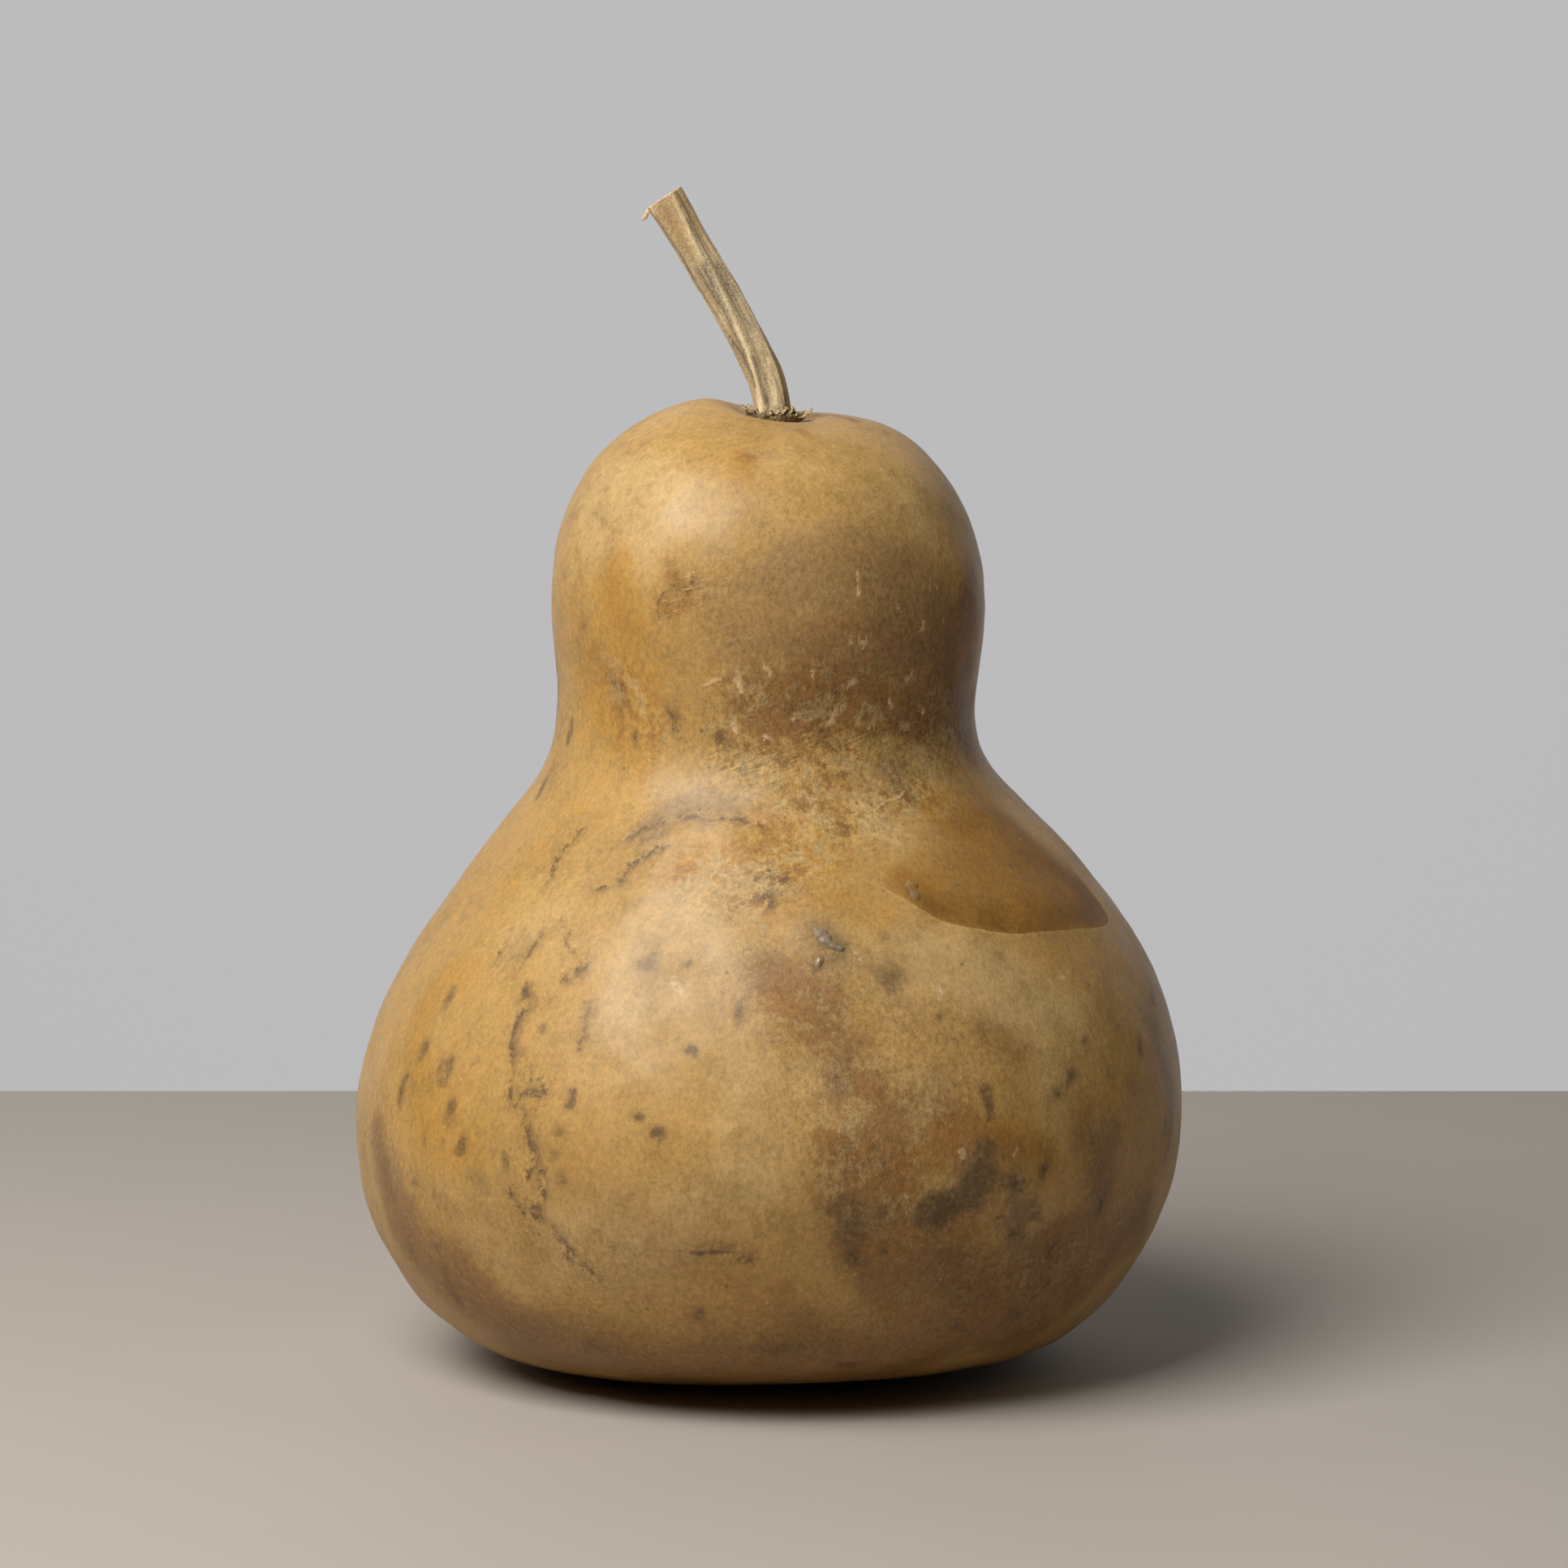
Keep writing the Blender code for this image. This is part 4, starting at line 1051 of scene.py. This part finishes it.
def shard(start, way, out, length, width, seed):
    """A thin torn flake, as points and faces: it runs along its way, tapers and curls out."""
    draw = np.random.default_rng(seed)
    side = np.cross(way, out)
    side /= np.linalg.norm(side)
    top = []
    curl = draw.uniform(*SHARD_CURLS)
    drift = draw.uniform(*SHARD_DRIFTS)
    for share in np.arange(SHARD_ROWS) / (SHARD_ROWS - 1):
        taper = (1.0 - share**SHARD_TAPER_POWER) * (1.0 + SHARD_RAGGEDNESS * draw.normal()) + SHARD_TIP
        middle = start + way * length * share + out * length * curl * share**2
        middle = middle + side * width * (drift * share + SHARD_SHAKE * draw.normal())
        for across in 2.0 * np.arange(SHARD_COLUMNS) / (SHARD_COLUMNS - 1) - 1.0:
            bulge = SHARD_BULGE * width * (1.0 - across**2)
            top.append(middle + side * across * 0.5 * width * max(taper, SHARD_TIP) + out * bulge)
    top = np.array(top)
    top += draw.normal(0.0, SHARD_ROUGHNESS, top.shape) * width
    here = np.arange(len(top)).reshape(SHARD_ROWS, SHARD_COLUMNS)
    faces = []
    corners = np.stack([here[:-1, :-1], here[:-1, 1:], here[1:, 1:], here[1:, :-1]], axis=2)
    for quad in corners.reshape(-1, 4):
        faces += [tuple(quad.tolist()), tuple((quad[::-1] + len(top)).tolist())]
    rim = np.concatenate([here[0], here[1:, -1], here[-1, -2::-1], here[-2:0:-1, 0]]).tolist()
    for a, b in zip(rim, rim[1:] + rim[:1]):
        faces.append((b, a, a + len(top), b + len(top)))
    return np.concatenate([top, top - out * SHARD_THICKNESS]), faces


def make_stalk(camera):
    """The ribbed, twisted stalk with its cut end and the splinter that hangs off it."""
    stalk = Stalk(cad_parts["stem"], camera)
    brush = Brush(stalk, LEAST_STALK_MARK)
    brush.strokes(STALK_STROKES)
    rim = stalk.grid[-1]
    grid = np.concatenate([stalk.grid, stalk.cut_rows(rim)])
    corner = rim[np.argmin(rim[:, 0])]
    path = smooth_path(corner + np.array(SPLINTER_PATH) * MM)
    splinter = welt(path, np.tile(SPLINTER_FACING, (len(path), 1)), *SPLINTER_SIZE)
    piece = new_piece("stalk", *joined([rows_closed(grid), splinter]))
    for kind, field in brush.fields.items():
        store_field(piece, kind, field)
    store_field(piece, "groove", stalk.groove.ravel())
    along = np.ones(len(piece.data.vertices))
    along[: stalk.groove.size] = np.repeat(stalk.share, STEM_COLUMNS)
    store_field(piece, "along", along)
    store_field(piece, "cut", np.arange(len(along)) >= stalk.groove.size)
    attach(piece, "root")
    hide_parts("stem")
    return piece


def collar_ring(node):
    """The collar's ring, made finer and rougher than its solid."""
    ring = add_object("collar_draft", node.data.copy())
    ring.modifiers.new("weld", "WELD").merge_threshold = WELD_DISTANCE
    finer = ring.modifiers.new("finer", "SUBSURF")
    finer.levels = COLLAR_FINENESS
    finer.render_levels = COLLAR_FINENESS
    evaluated = ring.evaluated_get(bpy.context.evaluated_depsgraph_get())
    made = evaluated.to_mesh()
    points = np.array([vertex.co for vertex in made.vertices])
    normals = np.array([vertex.normal for vertex in made.vertices])
    faces = [tuple(face.vertices) for face in made.polygons]
    evaluated.to_mesh_clear()
    bpy.data.objects.remove(ring, do_unlink=True)
    return points + normals * relief(points, COLLAR_RELIEF)[:, None], faces


def make_collar():
    """The torn corky collar round the foot of the stalk, with its flakes."""
    parts = [collar_ring(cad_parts["stem_collar"])]
    tips = [np.zeros(len(parts[0][0]))]
    upright = np.array([0.0, 0.0, 1.0])
    for number, (angle, reach, height, length, width, lean) in enumerate(COLLAR_SHARDS):
        turned = math.radians(angle)
        level = np.array([math.cos(turned), math.sin(turned), 0.0])
        start = np.array([*SOCKET_MIDDLE, height * MM]) + level * reach * MM
        way = level + upright * lean
        way /= np.linalg.norm(way)
        out = upright - way * way[2]
        out /= np.linalg.norm(out)
        parts.append(shard(start, way, out, length * MM, width * MM, SHARD_SEED + number))
        tips.append(np.tile(np.repeat(np.linspace(0.0, 1.0, SHARD_ROWS), SHARD_COLUMNS), 2))
    points, faces = joined(parts)
    piece = new_piece("torn_collar", points, faces)
    store_field(piece, "tips", np.concatenate(tips))
    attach(piece, "root")
    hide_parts("stem_collar")
    return piece


class Number:
    """A socket that carries a number. Python's operators on it add Math nodes."""

    def __init__(self, finish, socket):
        self.finish = finish
        self.socket = socket

    def math(self, operation, first, second):
        """Add one Math node."""
        made = self.finish.node("ShaderNodeMath", {"operation": operation}, {0: first, 1: second})
        return Number(self.finish, made.outputs[0])

    def __add__(self, other):
        return self.math("ADD", self, other)

    def __radd__(self, other):
        return self.math("ADD", other, self)

    def __sub__(self, other):
        return self.math("SUBTRACT", self, other)

    def __rsub__(self, other):
        return self.math("SUBTRACT", other, self)

    def __mul__(self, other):
        return self.math("MULTIPLY", self, other)

    def __rmul__(self, other):
        return self.math("MULTIPLY", other, self)

    def absolute(self):
        """The number without its sign."""
        return self.math("ABSOLUTE", self, 0.0)

    def step(self, low, high):
        """A smooth step from 0 at low to 1 at high."""
        settings = {"interpolation_type": "SMOOTHSTEP"}
        sockets = {"Value": self, "From Min": low, "From Max": high}
        made = self.finish.node("ShaderNodeMapRange", settings, sockets)
        return Number(self.finish, made.outputs["Result"])


class Finish:
    """One material, built from expressions on its sockets."""

    def __init__(self, name):
        self.material = bpy.data.materials.new(name)
        self.material.use_nodes = True
        self.tree = self.material.node_tree
        self.shader = self.tree.nodes["Principled BSDF"]

    def node(self, kind, settings, sockets):
        """Add a node, set it up, and feed its sockets with values or links."""
        made = self.tree.nodes.new(kind)
        for name, value in settings.items():
            setattr(made, name, value)
        for key, value in sockets.items():
            self.feed(made.inputs[key], value)
        return made

    def feed(self, socket, value):
        """Link a socket, or set its value."""
        if isinstance(value, Number):
            value = value.socket
        if isinstance(value, bpy.types.NodeSocket):
            self.tree.links.new(value, socket)
        elif socket.type == "RGBA":
            socket.default_value = (*value, 1.0)
        else:
            socket.default_value = value

    def place(self):
        """The point's place on the object."""
        return self.node("ShaderNodeTexCoord", {}, {}).outputs["Object"]

    def vector(self, operation, first, second):
        """Add one Vector Math node."""
        return self.node("ShaderNodeVectorMath", {"operation": operation}, {0: first, 1: second}).outputs[0]

    def field(self, name):
        """A number that was stored for each point of the mesh."""
        made = self.node("ShaderNodeAttribute", {"attribute_name": name}, {})
        return Number(self, made.outputs["Fac"])

    def noise(self, place, layer):
        """Noise from 0 to 1, for a layer's size of lumps, detail and roughness."""
        size, detail, roughness = layer
        sockets = {"Vector": place, "Scale": 1.0 / size, "Detail": detail, "Roughness": roughness}
        return Number(self, self.node("ShaderNodeTexNoise", {}, sockets).outputs[0])

    def specks(self, place, size, seed_shift):
        """The distance to the middle of the nearest of scattered cells, and a number for each cell."""
        moved = self.vector("ADD", place, (seed_shift, 0.0, 0.0))
        made = self.node("ShaderNodeTexVoronoi", {}, {"Vector": moved, "Scale": 1.0 / size})
        split = self.node("ShaderNodeSeparateColor", {}, {0: made.outputs["Color"]})
        return Number(self, made.outputs["Distance"]), Number(self, split.outputs[0])

    def mix(self, first, second, share):
        """Mix two colours."""
        settings = {"data_type": "RGBA", "blend_type": "MIX", "clamp_factor": True}
        return self.node("ShaderNodeMix", settings, {0: share, 6: first, 7: second}).outputs[2]

    def layered(self, colour, *layers):
        """Mix more colours over a first one, each by its own share."""
        for tone, share in layers:
            colour = self.mix(colour, tone, share)
        return colour

    def shade(self, colour, value):
        """Make a colour lighter or darker."""
        return self.node("ShaderNodeHueSaturation", {}, {"Value": value, "Color": colour}).outputs[0]

    def bump(self, height, depth, strength=1.0):
        """A surface direction that follows a height from 0 to 1, times a depth."""
        sockets = {"Height": height, "Distance": depth, "Strength": strength}
        return self.node("ShaderNodeBump", {}, sockets).outputs[0]

    def set(self, **sockets):
        """Feed the shader's own sockets, named with underscores for spaces."""
        for name, value in sockets.items():
            self.feed(self.shader.inputs[name.replace("_", " ")], value)


def skin_finish():
    """Satin skin: ochre, amber, brown and grey stains, spots, veins, scuffs, painted shade and highlight.
    """
    finish = Finish("gourd_skin_finish")
    place = finish.place()
    clouds = finish.noise(place, SKIN_CLOUDS) - 0.5
    blotches = finish.noise(place, SKIN_BLOTCHES) - 0.5
    curds = finish.noise(place, SKIN_CURDS) - 0.5
    crumbs = finish.noise(place, SKIN_CRUMBS) - 0.5
    suede = finish.noise(finish.vector("MULTIPLY", place, SUEDE_STRETCH), SKIN_SUEDE) - 0.5
    ragged = blotches + curds + crumbs * 0.8

    def area(name, low=0.12, high=0.85):
        return (finish.field(name) + ragged * 0.9).step(low, high)

    def mark(name, low, high, raggedness):
        field = finish.field(name)
        return (field + field * (curds + crumbs) * raggedness).step(low, high)

    def thin(name, wobble, narrow, wide):
        across = (finish.field(name + "_side") + wobble).absolute()
        return 1.0 - across.step(narrow, wide)

    lichen = crumbs + curds
    mottled = 0.12 + finish.field("mottled")
    colour = finish.layered(
        OCHRE,
        (PALE_TAN, (clouds + blotches * 0.5).step(0.0, 0.28) * 0.5),
        (AMBER, (blotches * 0.5 - clouds).step(0.0, 0.28) * 0.5),
        (BROWN, (blotches + curds * 0.8 - clouds * 0.4).step(0.06, 0.30) * 0.32),
        # Pale tan is partly a painted highlight under the neck and on the lit left of the belly.
        (PALE_TAN, area("pale") * 0.7),
        (AMBER, area("amber") * 0.85),
        # The next two browns are partly painted shade, on the head's right side and, for the second, along
        # the base.
        (VEIL_AND_SHADE_BROWN, area("veil_and_shade") * 0.8),
        (BROWN, area("brown") * 0.85),
        (RUST, area("rust") * 0.7),
        (GREY_CAST, area("grey") * 0.65),
        (BROWN, mottled * lichen.step(0.01, 0.12) * 0.75),
        (CREAM, mottled * (lichen * -1.0).step(0.01, 0.13) * 0.7),
    )

    # The amber mark on the lower bulb's right shoulder, with its crisp edge and darker band: partly a
    # stain, partly a painted shadow and dark reflection of the upper bulb.
    side = finish.field("patch_side") + curds * 0.10
    fill = finish.field("stain_and_shadow") + ragged * 0.5
    stain_and_shadow = side.step(-0.015, 0.03) * fill.step(0.1, 0.9)
    rim = side.step(-0.12, -0.03) * (1.0 - side.step(-0.03, 0.01)) * fill.step(0.35, 0.8)
    smudge = finish.field("smudges")
    smudged = (smudge + smudge * (curds + crumbs) * 2.6).step(0.0, 1.15)
    spotted = mark("spots", 0.02, 0.7, 2.5) * 0.40 + mark("spots", 0.25, 1.05, 4.0) * 0.36
    grit = (crumbs + suede * 0.8).step(0.02, 0.12)
    near_line = thin("veins", crumbs * 8.0 + curds * 6.0, 0.1, 1.9)
    smears = (curds * 0.6 + crumbs).step(-0.05, 0.09)
    veined = mark("veins", 0.05, 0.8, 2.0) * (near_line * (0.34 + smears * 0.34) + smears * 0.34)
    dashes = thin("dashes", crumbs * 6.0 + suede * 6.0, 0.4, 2.2) * mark("dashes", 0.35, 0.7, 3.0)
    colour = finish.layered(
        colour,
        (PATCH_AMBER, stain_and_shadow * 0.85),
        (PATCH_DARK, stain_and_shadow * finish.field("patch_deep") * 0.7),
        (RIM_PALE, rim * 0.25),
        (SPOT_DARK, smudged * 0.7),
        (SPOT_DARK, spotted),
        (VEIN_DARK, finish.field("speckled").step(0.1, 0.9) * grit * 0.75),
        (VEIN_DARK, veined),
        (FLECK, dashes * 0.62),
    )

    distance, chance = finish.specks(place, *SKIN_DOTS)
    dots = (1.0 - distance.step(0.03, 0.12)) * chance.step(0.80, 0.84)
    distance, chance = finish.specks(place, *SKIN_FLECKS)
    flecks = (1.0 - distance.step(0.04, 0.12)) * chance.step(0.88, 0.92)
    welts = finish.field("welts")
    tilted = finish.node(
        "ShaderNodeVectorRotate", {"rotation_type": "Y_AXIS"}, {"Vector": place, "Angle": SCRATCH_LEAN}
    ).outputs[0]
    scratches = finish.noise(finish.vector("MULTIPLY", tilted, SCRATCH_STRETCH), SKIN_SCRATCHES)
    scratches = scratches.step(0.60, 0.70) * finish.field("scratched").step(0.2, 0.8)
    creases = finish.noise(finish.vector("MULTIPLY", tilted, CREASE_STRETCH), SKIN_CREASES) - 0.5
    creases = creases * finish.field("wrinkled").step(0.1, 0.8)
    colour = finish.layered(
        colour,
        (SPOT_DARK, dots * 0.6),
        (FLECK, flecks * 0.5),
        (SCAR_GREY, welts.step(0.0, 1.0) * (0.8 + crumbs * 4.0 + suede * 3.0)),
        # The palest welt, on the nub's tip, is a painted highlight.
        (FLECK, welts.step(1.1, 1.9)),
        (FLECK, scratches * 0.45),
    )

    # The grain is stronger under these marks, stains and painted shade alike.
    stains_and_shade = finish.field("mottled") + finish.field("veil_and_shade") + finish.field("brown") + finish.field("grey")
    grain = (crumbs * 0.75 + suede * 1.5) * (0.7 + stains_and_shade * 0.5)
    light = 1.0 + blotches * 0.65 + curds * 0.9 + grain
    finish.set(
        # The creases also darken the colour in their troughs and lighten it on their crests: painted shade
        # over their bump.
        Base_Color=finish.shade(colour, light + creases * 0.9),
        Roughness=SKIN_ROUGHNESS + curds * 0.3 + suede * 0.2,
        Specular_IOR_Level=SKIN_SPECULAR,
        Coat_Weight=SKIN_COAT + blotches * 0.6 - stain_and_shadow * 0.14,
        Coat_Roughness=SKIN_COAT_ROUGHNESS,
        Normal=finish.bump(suede + creases * 2.2, SKIN_BUMP),
    )
    return finish.material


def stalk_finish():
    """The dry stalk: pale ribs, tan faces browned towards the cut, and grooves full of grey specks."""
    finish = Finish("dry_stalk_finish")
    place = finish.place()
    grain = finish.noise(place, STALK_GRAIN) - 0.5
    fibres = finish.noise(finish.vector("MULTIPLY", place, FIBRE_STRETCH), STALK_FIBRES) - 0.5
    clouds = finish.noise(place, STALK_CLOUDS) - 0.5
    groove = finish.field("groove")
    soot = finish.field("soot")
    face = (groove + fibres * 0.4 + grain * 0.2).step(0.0, 0.16)
    depth = (groove + clouds * 1.2 + fibres * 0.6).step(0.45, 1.1)
    specks = (grain + fibres * 0.2).step(-0.03, 0.05)
    colour = finish.layered(
        RIB_CREAM,
        (STALK_TAN, face),
        (GROOVE_BROWN, face * (fibres + clouds * 0.8).step(-0.05, 0.15) * 0.5),
        (STALK_END, finish.field("along").step(0.62, 0.95) * 0.5 + finish.field("browned") * 0.7),
        (RIB_CREAM, finish.field("bleached") * 0.8),
        (SPECKLE_GREY, specks * (depth * 0.3 + soot.step(0.02, 0.6) * 0.85)),
        (SPECKLE_GREY, soot.step(0.4, 1.0) * 0.35),
        (STALK_TAN, finish.field("cut") * 0.5),
    )
    finish.set(
        Base_Color=finish.shade(colour, 1.42 + fibres * 1.3 + grain * 4.0),
        Roughness=STALK_ROUGHNESS,
        Specular_IOR_Level=DRY_SPECULAR,
        Normal=finish.bump(fibres * 0.8 + grain * face, STALK_BUMP),
    )
    return finish.material


def cork_finish():
    """The torn cork of the collar."""
    finish = Finish("torn_cork_finish")
    place = finish.place()
    crumbs = finish.noise(place, CORK_CRUMBS)
    torn = crumbs * 0.5 + finish.noise(place, CORK_LUMPS) * 0.6 - finish.field("tips") * 0.2
    colour = finish.mix(CORK_TAN, CORK_DARK, torn.step(0.34, 0.60) * 0.9)
    finish.set(
        Base_Color=finish.shade(colour, 0.75 + crumbs * 0.5),
        Roughness=CORK_ROUGHNESS,
        Specular_IOR_Level=DRY_SPECULAR,
        Normal=finish.bump(crumbs, CORK_BUMP, 0.8),
    )
    return finish.material


def floor_finish():
    """A plain pale floor."""
    finish = Finish("pale_floor")
    uneven = finish.noise(finish.place(), FLOOR_NOISE)
    finish.set(Base_Color=finish.shade(FLOOR_TONE, 0.97 + uneven * 0.06), Roughness=FLOOR_ROUGHNESS)
    return finish.material


def wall_finish():
    """A plain pale wall, lit evenly by its own soft glow."""
    finish = Finish("pale_wall")
    finish.set(
        Base_Color=WALL_TONE,
        Roughness=WALL_ROUGHNESS,
        Emission_Color=WALL_TONE,
        Emission_Strength=WALL_GLOW,
    )
    return finish.material


def add_softbox(name, angle, rise, distance, size, power, tone):
    """Hang a softbox at an angle from the front, to the right above zero, aimed at the gourd."""
    turned = math.radians(angle)
    raised = math.radians(rise)
    level = math.cos(raised)
    way = Vector((math.sin(turned) * level, -math.cos(turned) * level, math.sin(raised)))
    data = bpy.data.lights.new(name, "AREA")
    data.shape = "RECTANGLE"
    data.size, data.size_y = size
    data.energy = power
    data.color = tone
    light = add_object(name, data)
    light.location = Vector(AIM) + way * distance
    light.rotation_euler = (-way).to_track_quat("-Z", "Y").to_euler()


def stage_sheet(name, profile, material):
    """A sheet for the studio, drawn out sideways from a profile of depths and heights."""
    half = FLOOR_SIZE / 2
    points = [(side, deep, height) for deep, height in profile for side in (-half, half)]
    faces = [(2 * i, 2 * i + 1, 2 * i + 3, 2 * i + 2) for i in range(len(profile) - 1)]
    sheet = new_piece(name, points, faces)
    sheet.data.materials.append(material)


def add_studio():
    """A plain pale floor with a rounded back edge, a plain wall far behind it, and soft light."""
    flat = FLOOR_BACK - FLOOR_EDGE_RADIUS
    profile = [(-FLOOR_SIZE / 2, 0.0), (flat, 0.0)]
    for step in range(1, FLOOR_EDGE_STEPS + 1):
        angle = math.radians(90.0 * step / FLOOR_EDGE_STEPS)
        drop = FLOOR_EDGE_RADIUS * (1.0 - math.cos(angle))
        profile.append((flat + FLOOR_EDGE_RADIUS * math.sin(angle), -drop))
    profile.append((FLOOR_BACK, -FLOOR_DEPTH))
    stage_sheet("studio_floor", profile, floor_finish())
    stage_sheet("studio_wall", [(WALL_DISTANCE, WALL_BOTTOM), (WALL_DISTANCE, WALL_TOP)], wall_finish())
    for softbox in SOFTBOXES:
        add_softbox(*softbox)
    world = bpy.data.worlds.new("studio_surround")
    world.use_nodes = True
    background = world.node_tree.nodes["Background"]
    background.inputs["Color"].default_value = (*WORLD_TONE, 1.0)
    background.inputs["Strength"].default_value = WORLD_LIGHT
    bpy.context.scene.world = world
    bpy.context.scene.view_settings.view_transform = "Standard"


def main():
    """Dress the gourd and set up its studio."""
    camera = Camera()
    camera.add_to_scene()
    make_skin(camera).data.materials.append(skin_finish())
    make_stalk(camera).data.materials.append(stalk_finish())
    make_collar().data.materials.append(cork_finish())
    add_studio()


main()
